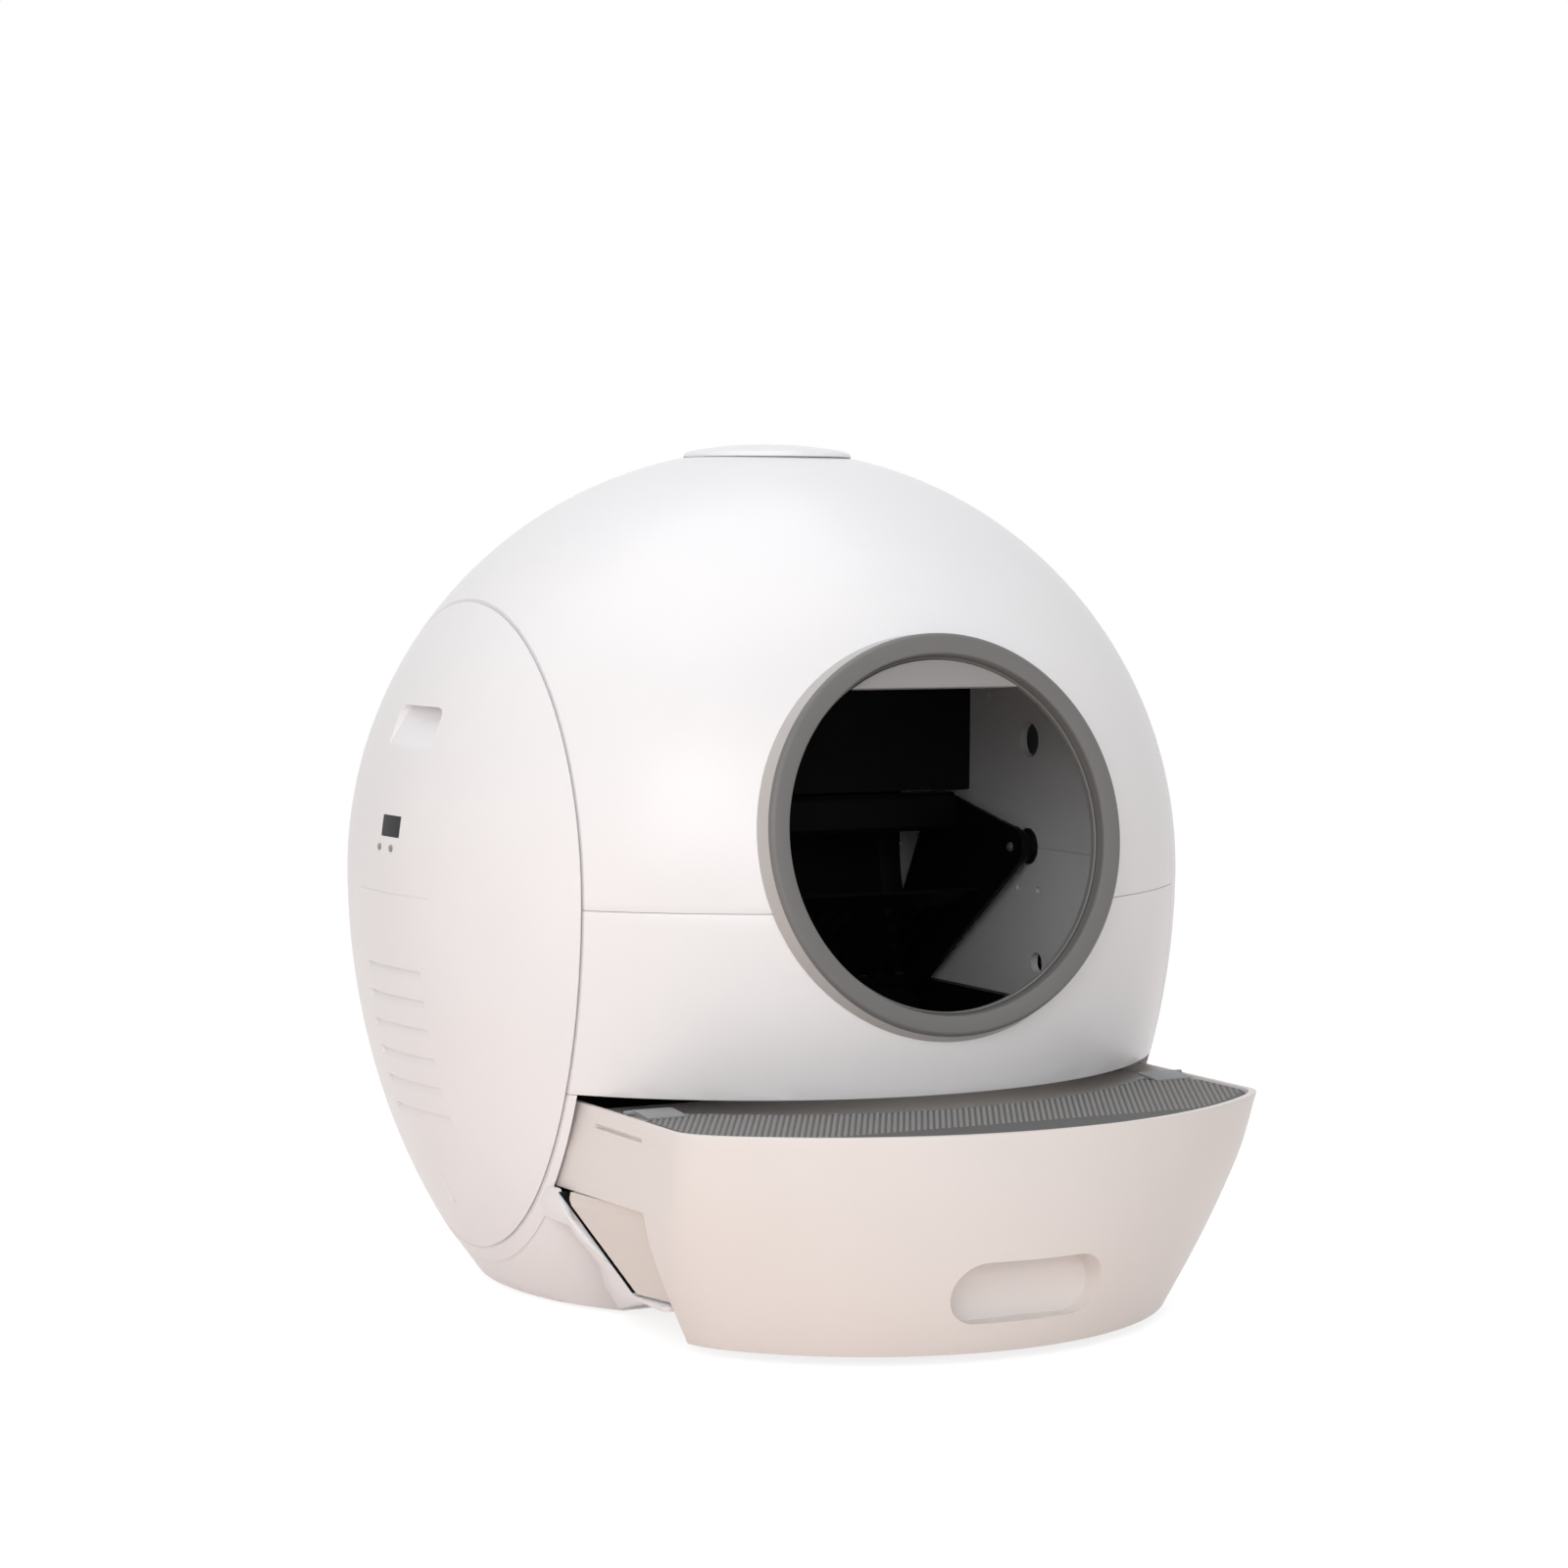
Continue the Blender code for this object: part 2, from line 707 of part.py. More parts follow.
def make_cap(frame, cap_frame):
    """Cap on the top of the dome, with the filter basket and the filter under it."""
    seat = shell_radius + fit_gap
    flange_top = seat + basket_flange_thick
    low = flange_top + fit_gap
    high = shell_radius + cap_proud
    reaches = [cap_radius * i / cap_rows for i in range(cap_rows + 1)]
    under = [(reach, ball_height(low, reach)) for reach in reaches]
    over = [(reach, ball_height(high, reach)) for reach in reaches]
    rim = over[-1]
    skirt = [(cap_radius, ball_height(seat, cap_radius)),
             (basket_flange + fit_gap, ball_height(seat, basket_flange + fit_gap)),
             (basket_flange + fit_gap, ball_height(low, basket_flange + fit_gap))]
    profile = over[:-1] + [rim] + skirt + list(reversed(under[:-1]))
    cap = lathe(profile, cap_steps, 'Z', closed=False)
    finish("top_cap", cap, "white", cap_frame)
    cup = cap_hole_radius - fit_gap
    inside = basket_inner
    floor = ball_height(seat, cup) - basket_depth
    basket = [(cup, floor), (cup, ball_height(seat, cup)),
              (basket_flange, ball_height(seat, basket_flange)),
              (basket_flange, ball_height(flange_top, basket_flange)),
              (inside, ball_height(flange_top, inside)), (inside, floor + basket_wall)]
    holder = finish("filter_basket", lathe(basket, cap_steps, 'Z', closed=False), "white", frame)
    for i in range(basket_vents):
        reach, angle = filter_radius / 2, 2 * math.pi * i / basket_vents
        vent = cylinder(filter_radius * basket_vent_share, floor - overrun, floor + overrun, 'Z', 16,
                        (reach * math.cos(angle), reach * math.sin(angle), 0))
        shape(holder, tool("basket_vent_%d" % (i + 1), vent, frame))
    base = floor + basket_wall + fit_gap
    pad = cylinder(filter_radius, base, base + filter_height, 'Z', cap_steps)
    finish("odour_filter", pad, "carbon", frame)


def make_tray(frame):
    """Half-round litter tray with closed ends and a flange along its rim."""
    rim = -tray_rim_drop
    drop = axle_rise - rim

    def trough(radius, half):
        half_angle = math.acos(drop / radius)
        points = arc(radius, -math.pi / 2 - half_angle, -math.pi / 2 + half_angle, 28, (0, axle_rise))
        return points, half

    points, half = trough(tray_outer, tray_half)
    tray = finish("litter_tray", prism(points, -half, half, 'X'), "black", frame)
    flange_y = math.sqrt(tray_outer ** 2 - drop ** 2) + tray_flange
    flange_x = tray_half + tray_flange
    flange = box((-flange_x, -flange_y, rim - tray_wall), (flange_x, flange_y, rim))
    flange = tool("tray_flange_form", flange, frame)
    room = ball_slice(inner_radius - fit_gap, wall_inner - fit_gap / 2, inside_steps, inside_rows)
    shape(flange, tool("tray_flange_limits", room, frame), 'INTERSECT')
    shape(tray, flange, 'UNION')
    inner, inner_half = trough(tray_inner, tray_inner_half)
    inner = [inner[0], *inner[1:-1], inner[-1], (inner[-1][0], rim + overrun), (inner[0][0], rim + overrun)]
    shape(tray, tool("tray_hollow", prism(inner, -inner_half, inner_half, 'X'), frame))


def polar(reach, angle):
    return (reach * math.cos(angle), reach * math.sin(angle))


def arm_outline():
    """Side view of a rake arm: a round hub and a sail that widens to the comb."""
    low = comb_angle - sail_margin
    hub = arc(hub_radius, beam_angle + hub_open_angles[0], low + hub_open_angles[1], 10)
    return hub + [polar(rake_reach, low), polar(rake_reach, comb_angle + sail_margin),
                  polar(rake_reach * sail_shares[0], sail_angle), polar(rake_reach * sail_shares[1], 0),
                  polar(beam_reach + beam_depth, beam_angle + sail_over)]


def make_rake(rake_frame):
    """Two arms, the spine beam and the comb, all turning on the axle."""
    for side, name in ((-1, "left"), (1, "right")):
        ends = sorted((side * arm_inner, side * arm_outer))
        arm = finish("rake_arm_" + name, prism(arm_outline(), ends[0], ends[1], 'X'), "black", rake_frame)
        cone = [(hub_radius - fit_gap, side * (arm_outer - arm_thick / 2)),
                (hub_tip_radius, side * (wall_inner - fit_gap))]
        shape(arm, tool("hub_form_" + name, lathe(cone, 32, 'X', closed=False), rake_frame), 'UNION')
        bore_ends = sorted((side * (arm_outer - fit_gap), side * (wall_inner + overrun)))
        bore = cylinder(axle_radius + fit_gap, *bore_ends, 'X')
        shape(arm, tool("hub_bore_" + name, bore, rake_frame))
        screw_ends = sorted((side * (arm_inner - overrun), side * (arm_outer + overrun)))
        screw_bore = cylinder(screw_shank_radius + fit_gap, *screw_ends, 'X', 16)
        shape(arm, tool("screw_bore_" + name, screw_bore, rake_frame))
        axle_ends = (arm_outer, gear_start + gear_width - fit_gap)
        stub = cylinder(axle_radius, side * axle_ends[0], side * axle_ends[1], 'X')
        stub = finish("axle_stub_" + name, stub, "steel", rake_frame)
        tap_ends = sorted((side * (arm_outer - overrun), side * (arm_outer + screw_shank)))
        tap = cylinder(screw_shank_radius + fit_gap, *tap_ends, 'X', 12)
        shape(stub, tool("axle_tap_" + name, tap, rake_frame))
        head = arm_inner - fit_gap
        screw = [(screw_radius * screw_bevel_share, side * (head - screw_head)),
                 (screw_radius, side * (head - screw_head / 2)), (screw_radius, side * head),
                 (screw_shank_radius, side * head),
                 (screw_shank_radius, side * (arm_outer + screw_shank - fit_gap))]
        finish("pivot_screw_" + name, lathe(screw, 16, 'X', closed=False), "gear_white", rake_frame)
    make_beam(rake_frame)
    make_comb(rake_frame)


def make_beam(rake_frame):
    half = arm_inner - fit_gap
    centre = polar(beam_reach, beam_angle)
    deep, tall = beam_depth / 2, beam_height / 2
    bevel = beam_depth / 4
    outline = [(-deep, -tall + bevel), (-deep + bevel, -tall), (deep - bevel, -tall), (deep, -tall + bevel),
               (deep, tall - bevel), (deep - bevel, tall), (-deep + bevel, tall), (-deep, tall - bevel)]
    outline = [(centre[0] + a, centre[1] + b) for a, b in outline]
    finish("rake_beam", prism(outline, -half, half, 'X'), "black", rake_frame)


def make_comb(rake_frame):
    """Comb plate: bowed tines between a root bar and open tips, made as one skin."""
    half = arm_inner - fit_gap
    reaches = (comb_root, comb_slot_root, (comb_slot_root + rake_reach) / 2, rake_reach - comb_bar,
               rake_reach - comb_bar * comb_tip_share)
    rows = list(zip(reaches, comb_bow_shares))
    pitch = (2 * half - tine_width) / (tine_count - 1)
    stations = []
    for i in range(tine_count):
        start = -half + pitch * i
        stations += [start, start + tine_width]
    along = Vector((0, *polar(1, comb_angle)))
    across = Vector((0, *polar(1, comb_angle + math.pi / 2)))
    bm = bmesh.new()
    skins = []
    for offset in (-comb_thick / 2, comb_thick / 2):
        skin = []
        for reach, bow in rows:
            place = along * reach + across * (comb_bow * bow + offset)
            skin.append([bm.verts.new(place + Vector((x, 0, 0))) for x in stations])
        skins.append(skin)
    columns = len(stations) - 1
    bars = len(rows) - 1

    def solid(row, column):
        if row < 0 or row >= bars or column < 0 or column >= columns:
            return False
        return row == 0 or row == bars - 1 or column % 2 == 0

    for row in range(bars):
        for column in range(columns):
            if not solid(row, column):
                continue
            cells = [[skin[row][column], skin[row][column + 1],
                      skin[row + 1][column + 1], skin[row + 1][column]] for skin in skins]
            bm.faces.new(cells[0])
            bm.faces.new(list(reversed(cells[1])))
            edges = (((row - 1, column), (0, 1)), ((row, column + 1), (1, 2)),
                     ((row + 1, column), (2, 3)), ((row, column - 1), (3, 0)))
            for beside, (i, j) in edges:
                if not solid(*beside):
                    bm.faces.new((cells[0][i], cells[1][i], cells[1][j], cells[0][j]))
    finish("rake_comb", bm, "black", rake_frame)


def gear_form(teeth, start, width, bore, turn):
    """Spur gear: trapezoid teeth around the pitch circle, with a round bore."""
    pitch_radius = gear_module * teeth / 2
    tip = pitch_radius + gear_module * addendum_share
    root = pitch_radius - gear_module * dedendum_share
    step = 2 * math.pi / teeth
    outline = []
    for i in range(teeth):
        middle = turn + step * i
        wide = step * (tooth_share + tooth_taper_share) / 2
        slim = step * (tooth_share - tooth_taper_share) / 2
        outline += [polar(root, middle - wide), polar(tip, middle - slim),
                    polar(tip, middle + slim), polar(root, middle + wide)]
    bores = [polar(bore / math.cos(step / 2), turn + step * (i - 0.5)) for i in range(teeth)]
    bm = bmesh.new()
    sides = []
    for depth in (start, start + width):
        sides.append(([bm.verts.new((depth, a, b)) for a, b in outline],
                      [bm.verts.new((depth, a, b)) for a, b in bores]))
    (rim0, bore0), (rim1, bore1) = sides
    count = len(outline)
    for i in range(count):
        j = (i + 1) % count
        bm.faces.new((rim0[i], rim0[j], rim1[j], rim1[i]))
    for i in range(teeth):
        j = (i + 1) % teeth
        bm.faces.new((bore0[j], bore0[i], bore1[i], bore1[j]))
        for rim, hole in sides:
            tooth = rim[i * 4:i * 4 + 4]
            after = rim[j * 4]
            bm.faces.new(tooth)
            bm.faces.new((hole[i], tooth[0], tooth[3], hole[j]))
            bm.faces.new((tooth[3], after, hole[j]))
    return bm


def make_drive(frame, rake_frame, pinion_frame):
    """Bushes, gears, motor, bracket, board and switch; all but the right bush sit on the left."""
    for side, name in ((-1, "left"), (1, "right")):
        start = wall_inner + fit_gap
        seat = side_plane + fit_gap
        inner = axle_radius + fit_gap
        profile = [(inner, side * start), (bush_radius, side * start), (bush_radius, side * seat),
                   (bush_flange_radius, side * seat), (bush_flange_radius, side * (seat + bush_flange)),
                   (inner, side * (seat + bush_flange))]
        bush = lathe(profile, 24, 'X')
        bmesh.ops.translate(bush, verts=bush.verts, vec=Vector((0, 0, axle_rise)))
        finish("axle_bush_" + name, bush, "steel", frame)
    start = -gear_start - gear_width
    wheel = gear_form(gear_teeth, start, gear_width, axle_radius + fit_gap, 0)
    finish("drive_gear", wheel, "gear_white", rake_frame)
    pinion_turn = mesh_angle + math.pi + math.pi / pinion_teeth
    shaft = axle_radius / 3
    wheel = gear_form(pinion_teeth, start, gear_width, shaft + fit_gap, pinion_turn)
    finish("motor_pinion", wheel, "gear_white", pinion_frame)
    spindle = cylinder(shaft, -bracket_start - bracket_thick, -gear_start, 'X', 16)
    finish("motor_shaft", spindle, "steel", pinion_frame)
    make_motor(frame)
    make_board(frame)


def pinion_place():
    """Centre of the pinion, behind and below the axle."""
    return (0, mesh_distance * math.cos(mesh_angle), axle_rise + mesh_distance * math.sin(mesh_angle))


def make_motor(frame):
    """Gear motor on a bracket that stands on two posts off the left wall."""
    centre = pinion_place()
    body = -bracket_start - bracket_thick - fit_gap
    finish("gear_motor", cylinder(motor_radius, body - motor_length, body, 'X', 32, centre), "steel", frame)
    half_y, half_z = bracket_depth / 2, bracket_height / 2
    plate = box((-bracket_start - bracket_thick, centre[1] - half_y, centre[2] - half_z),
                (-bracket_start, centre[1] + half_y, centre[2] + half_z))
    bracket = finish("motor_bracket", plate, "steel", frame, smooth=False)
    for i, rise in enumerate((-post_spacing / 2, post_spacing / 2)):
        place = (0, centre[1] + post_place, centre[2] + rise)
        post = cylinder(post_radius, -bracket_start - bracket_thick / 2, -side_plane - fit_gap, 'X', 16, place)
        shape(bracket, tool("bracket_post_%d" % (i + 1), post, frame), 'UNION')
    hole = cylinder(axle_radius / 3 + fit_gap * 2, -bracket_start - overrun, -bracket_start + overrun,
                    'X', 16, centre)
    shape(bracket, tool("bracket_shaft_hole", hole, frame))


def make_board(frame):
    """Control board on four standoffs, and the switch that finds the rake's rest place."""
    inner = -side_plane - board_standoff
    low = (inner - board_thick, board_place - board_length / 2, -board_drop - board_height / 2)
    high = (inner, board_place + board_length / 2, -board_drop + board_height / 2)
    board = finish("control_board", box(low, high), "board_green", frame, smooth=False)
    inset = standoff_radius * 2
    for i, (y, z) in enumerate(((low[1] + inset, low[2] + inset), (high[1] - inset, low[2] + inset),
                                (low[1] + inset, high[2] - inset), (high[1] - inset, high[2] - inset))):
        leg = cylinder(standoff_radius, inner - board_thick / 2, -side_plane - fit_gap, 'X', 12, (0, y, z))
        shape(board, tool("board_standoff_%d" % (i + 1), leg, frame), 'UNION')
    seat = -side_plane - fit_gap
    low = (seat - switch_depth, -switch_place - switch_length / 2, -switch_drop - switch_height / 2)
    high = (seat, -switch_place + switch_length / 2, -switch_drop + switch_height / 2)
    finish("position_switch", box(low, high), "black", frame, smooth=False)


def make_inlet_and_feet(frame):
    """Power inlet in the rear of the base, and four rubber feet."""
    level = ball_height(shell_radius, inlet_drop / low_stretch_share)
    back = ball_height(level, inlet_place)
    start = back - inlet_length
    profile = [(inlet_radius, start), (inlet_radius, back), (inlet_bore, back),
               (inlet_bore, back - inlet_bore_depth)]
    bm = lathe(profile, 20, 'Y', closed=False)
    bmesh.ops.translate(bm, verts=bm.verts, vec=Vector((-inlet_place, 0, -inlet_drop)))
    finish("power_inlet", bm, "black", frame)
    names = ("rear_right", "rear_left", "front_left", "front_right")
    for i, name in enumerate(names):
        angle = math.pi / 4 + math.pi / 2 * i
        centre = (foot_circle * math.cos(angle), foot_circle * math.sin(angle), 0)
        foot = cylinder(foot_radius, -base_depth - foot_height, -base_depth - fit_gap, 'Z', 24, centre)
        finish("foot_" + name, foot, "rubber", frame)


def cover_profile(radius, edge, count):
    """Quarter profile of a side cover: from its edge to the middle of the dome."""
    first = math.acos(edge / radius)
    points = []
    for i in range(count + 1):
        angle = first * (1 - i / count)
        points.append((radius * math.sin(angle), radius * math.cos(angle)))
    points[-1] = (0, radius)
    return points


def dome_solid(side, depth):
    """The room inside a side cover's dome, up to a depth below its outer face."""
    edge = side_plane + cover_gap
    profile = [(0, side * edge)]
    profile += [(reach, side * x) for reach, x in cover_profile(shell_radius - depth, edge, cover_rows)]
    bm = lathe(profile, cover_steps, 'X', closed=False)
    body_form(bm)
    return bm


def pocket_prism(side, grow):
    """The finger pocket: deep under its upper lip, level with the cover at its lower edge."""
    top, low = pocket_top, pocket_top - pocket_height
    deep = ball_height(ball_height(shell_radius, top), pocket_place) - pocket_depth
    out = ball_height(ball_height(shell_radius, low), pocket_place)
    far = shell_radius + overrun
    outline = [(deep - grow, top + grow), (far, top + grow), (far, low - grow), (out - grow, low - grow)]
    half = pocket_length / 2 + grow
    return prism([(side * x, z) for x, z in outline], -pocket_place - half, -pocket_place + half, 'Y')


def make_cover(side, name, cover_frame):
    """Domed side cover with a finger pocket, six louvre grooves and a small release recess."""
    edge = side_plane + cover_gap
    outer = cover_profile(shell_radius, edge, cover_rows)
    inner = cover_profile(shell_radius - cover_wall, edge, cover_rows)
    profile = [(reach, side * x) for reach, x in outer + list(reversed(inner))]
    bm = lathe(profile, cover_steps, 'X')
    bmesh.ops.remove_doubles(bm, verts=bm.verts, dist=fit_gap / 10)
    body_form(bm)
    cover = finish("side_cover_" + name, bm, "white", cover_frame)
    cup = tool("pocket_form_" + name, pocket_prism(side, pocket_wall), cover_frame)
    limits = tool("pocket_form_limits_" + name, dome_solid(side, cover_wall / 2), cover_frame)
    shape(cup, limits, 'INTERSECT')
    shape(cover, cup, 'UNION')
    shape(cover, tool("pocket_cut_" + name, pocket_prism(side, 0), cover_frame))
    ends = sorted((side * edge, side * (shell_radius + overrun)))
    spans = [(groove_length, groove_height, groove_first_drop + groove_pitch * i) for i in range(groove_count)]
    spans.append((recess_width, recess_height, recess_drop))
    bars = [box((ends[0], -groove_place - long / 2, -drop - tall / 2),
                (ends[1], -groove_place + long / 2, -drop + tall / 2)) for long, tall, drop in spans]
    grooves = tool("grooves_" + name, together(bars), cover_frame)
    shape(grooves, tool("groove_floor_" + name, dome_solid(side, groove_depth), cover_frame))
    shape(cover, grooves)
    return cover


def window_box(grow):
    reach = shell_radius + overrun
    half_y, half_z = window_length / 2 + grow, window_height / 2 + grow
    return box((-reach, -window_place - half_y, window_rise - half_z),
               (-side_plane - overrun, -window_place + half_y, window_rise + half_z))


def make_controls(cover, cover_frame, button_frames):
    """Display window, curved like the cover, and two buttons in the left cover."""
    window = finish("display_window", window_box(0), "screen_black", cover_frame)
    shape(window, tool("window_face", dome_solid(-1, fit_gap), cover_frame), 'INTERSECT')
    shape(window, tool("window_back", dome_solid(-1, window_thick), cover_frame))
    shape(cover, tool("window_hole", window_box(fit_gap), cover_frame))
    for i, (place, frame) in enumerate(zip(button_places, button_frames)):
        bore = cylinder(button_radius + fit_gap, -shell_radius - overrun, -shell_radius + overrun * 2, 'X', 20,
                        (0, place, button_rise))
        shape(cover, tool("button_hole_%d" % (i + 1), bore, cover_frame))
        finish("button_%d" % (i + 1), cylinder(button_radius, 0, button_length, 'X', 20), "button_grey", frame)


def drawer_section(level, inset, back, limit, widen=1):
    """Plan outline of the drawer at one level: sides that may widen to the rear and a bowed front."""
    half = drawer_half_widths[level] - inset
    flare = (drawer_rear_halves[level] - drawer_half_widths[level]) / (drawer_corners[level] - band_back)
    corner = drawer_corners[level] - inset
    front = drawer_fronts[level] - inset
    sagitta = front - corner
    radius = (half * half + sagitta * sagitta) / (2 * sagitta)
    centre = -(front - radius)
    spread = math.asin(half / radius)
    bow = arc(radius, -math.pi / 2 - spread, -math.pi / 2 + spread, drawer_arc_steps, (0, centre))
    rear = half + widen * flare * (corner + back)
    return [(-rear, back)] + [(x, max(y, -limit)) for x, y in bow] + [(rear, back)]


def drawer_drop(level):
    depth = drawer_bottom_drop - drawer_rim_drop
    return drawer_rim_drop + depth * drawer_level_shares[level]


def drawer_loft(inset, back, stretch, limit=drawer_fronts[0], widen=1):
    """Skin of the drawer between its rim and its lower edge, run on past both by a stretch."""
    sections = []
    last = len(drawer_level_shares) - 1
    for level in range(last + 1):
        outline = drawer_section(level, inset, back, limit, widen)
        if level == 0 and stretch:
            sections.append([(x, y, -drawer_rim_drop + stretch) for x, y in outline])
        sections.append([(x, y, -drawer_drop(level)) for x, y in outline])
        if level == last and stretch:
            sections.append([(x, y, -drawer_drop(level) - stretch) for x, y in outline])
    bm = loft(sections)
    bmesh.ops.triangulate(bm, faces=bm.faces)
    return bm


def tray_clearance(frame, name):
    """Keeps the drawer clear of the round tray behind it."""
    bm = cylinder(tray_clear_radius, -side_plane, side_plane, 'X', shell_steps, (0, 0, axle_rise))
    return tool(name, bm, frame)


def make_drawer(drawer_frame):
    """Drawer front: a bowed wall with side bands, a skirt and a recessed pull."""
    back = -band_back
    drawer = finish("drawer_front", drawer_loft(0, back, 0), "warm_white", drawer_frame)
    shape(drawer, tool("drawer_hollow", drawer_loft(drawer_wall, back + overrun, overrun), drawer_frame))
    far = max(drawer_rear_halves) + overrun
    under = box((-far, -skirt_back, -drawer_bottom_drop - overrun), (far, 0, -band_drop))
    shape(drawer, tool("skirt_end", under, drawer_frame))
    shape(drawer, tray_clearance(drawer_frame, "drawer_tray_clearance"))
    cup = tool("pull_form", pull_prism(pull_wall), drawer_frame)
    shape(cup, tool("pull_form_limits", drawer_loft(drawer_wall / 2, back, 0), drawer_frame), 'INTERSECT')
    shape(drawer, cup, 'UNION')
    shape(drawer, tool("pull_cut", pull_prism(0), drawer_frame))


def pull_prism(grow):
    """The recessed pull as a pill-shaped block, grown all round by a wall or a clearance."""
    outline = pill(pull_length + grow * 2, pull_height + grow * 2, pull_steps)
    outline = [(a, b - pull_drop) for a, b in outline]
    return prism(outline, -drawer_fronts[0] - overrun, -pull_floor + grow, 'Y')


def make_bin(frame):
    """Waste bin inside the drawer front, shaped at its rear to the base's slanted edge."""
    inset = drawer_wall + bin_clear
    back = -slant_top[0] + overrun

    def bin_solid(name, extra, top, floor):
        front = pull_floor - pull_wall - bin_clear - extra
        solid = drawer_loft(inset + extra, back, 0, front, 0)
        profile = bin_profile(bin_slant_gap + extra, top, floor)
        return solid, tool(name + "_limits", prism(profile, -side_plane, side_plane, 'X'), frame)

    floor = -slant_foot[1] + glide_thick
    solid, limits = bin_solid("bin_outer", 0, -bin_top_drop, floor)
    waste_bin = finish("waste_bin", solid, "warm_white", frame)
    shape(waste_bin, limits, 'INTERSECT')
    hollow, limits = bin_solid("bin_hollow", bin_wall, -drawer_rim_drop - overrun / 5, floor + bin_wall)
    hollow = tool("bin_hollow", hollow, frame)
    shape(hollow, limits, 'INTERSECT')
    shape(waste_bin, hollow)


def make_mat(lid_frame):
    """Step mat between the body and the drawer's rim, with a clip on each rear corner."""
    front = drawer_section(0, drawer_wall + mat_edge_gap, 0, drawer_fronts[0])[1:-1]
    edge = front[0][0]
    reach = math.acos(-edge / mat_back_half_width) if -edge < mat_back_half_width else 0
    rear = []
    count = 20
    for i in range(count + 1):
        angle = reach + (math.pi - 2 * reach) * i / count
        x = mat_back_half_width * math.cos(angle)
        y = -max(mat_back_depth * math.sin(angle), mat_back_stop)
        rear.append((x, y))
    outline = front + rear
    local = [(a, b + hinge_place) for a, b in outline]
    base = hinge_drop - mat_drop
    finish("step_mat", prism(local, base, base + mat_thick, 'Z'), "mat_grey", lid_frame)
    for side, name in ((-1, "left"), (1, "right")):
        top = base + mat_thick + fit_gap
        ends = sorted((side * clip_inner, side * clip_outer))
        plate = box((ends[0], -clip_length, top), (ends[1], clip_pin_radius, top + clip_thick))
        clip = finish("mat_clip_" + name, plate, "clip_grey", lid_frame, smooth=False)
        pin_ends = sorted((side * (clip_outer - clip_thick * 3),
                           side * (drawer_half_widths[0] - drawer_wall - fit_gap)))
        pin = cylinder(clip_pin_radius, *pin_ends, 'X', 16)
        shape(clip, tool("clip_pin_" + name, pin, lid_frame), 'UNION')


def make_panel(frame):
    """Black panel that closes the space behind the tray, with a flange along its foot."""
    half = wall_inner - fit_gap
    outline = [(panel_place, panel_bottom), (panel_place + panel_wall + panel_flange, panel_bottom),
               (panel_place + panel_wall + panel_flange, panel_bottom + panel_wall),
               (panel_place + panel_wall, panel_bottom + panel_wall), (panel_place + panel_wall, panel_top),
               (panel_place, panel_top)]
    finish("back_panel", prism(outline, -half, half, 'X'), "black", frame)


def make_glides(frame):
    """Two low-friction strips on the ledge that the waste bin slides on."""
    for side, name in ((-1, "left"), (1, "right")):
        start = side * glide_place - glide_width / 2
        low = (start, -tongue_reach + overrun, -slant_foot[1] + fit_gap)
        high = (start + glide_width, -slant_foot[0] - overrun, -slant_foot[1] + glide_thick - fit_gap)
        finish("drawer_glide_" + name, box(low, high), "clip_grey", frame, smooth=False)


def main():
    clear_scene()
    frame = empty("body_centre", (0, body_offset, centre_height))
    ring_frame = empty("ring_centre", (0, -ring_front, ring_rise), frame, (ring_lean, 0, 0))
    cap_frame = empty("cap_axis", (0, 0, 0), frame)
    rake_frame = empty("rake_axis", (0, 0, axle_rise), frame)
    pinion_frame = empty("pinion_axis", pinion_place(), frame)
    left_frame = empty("left_cover_slide", (0, 0, 0), frame)
    right_frame = empty("right_cover_slide", (0, 0, 0), frame)
    drawer_frame = empty("drawer_slide", (0, 0, 0), frame)
    lid_frame = empty("mat_hinge", (0, -hinge_place, -hinge_drop), drawer_frame)
    dome = ball_height(shell_radius, button_rise)
    button_frames = []
    for i, place in enumerate(button_places):
        face = -ball_height(dome, place) - button_proud
        button_frames.append(empty("button_axis_%d" % (i + 1), (face, place, button_rise), left_frame))
    make_housings(frame, ring_frame)
    make_base(frame)
    make_entrance(ring_frame)
    make_cap(frame, cap_frame)
    make_panel(frame)
    make_tray(frame)
    make_rake(rake_frame)
    make_drive(frame, rake_frame, pinion_frame)
    make_inlet_and_feet(frame)
    make_cover(1, "right", right_frame)
    make_controls(make_cover(-1, "left", left_frame), left_frame, button_frames)
    make_drawer(drawer_frame)
    make_bin(drawer_frame)
    make_mat(lid_frame)
    make_glides(frame)


main()
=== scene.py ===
import math

import bmesh
import bpy
from mathutils import Matrix, Vector


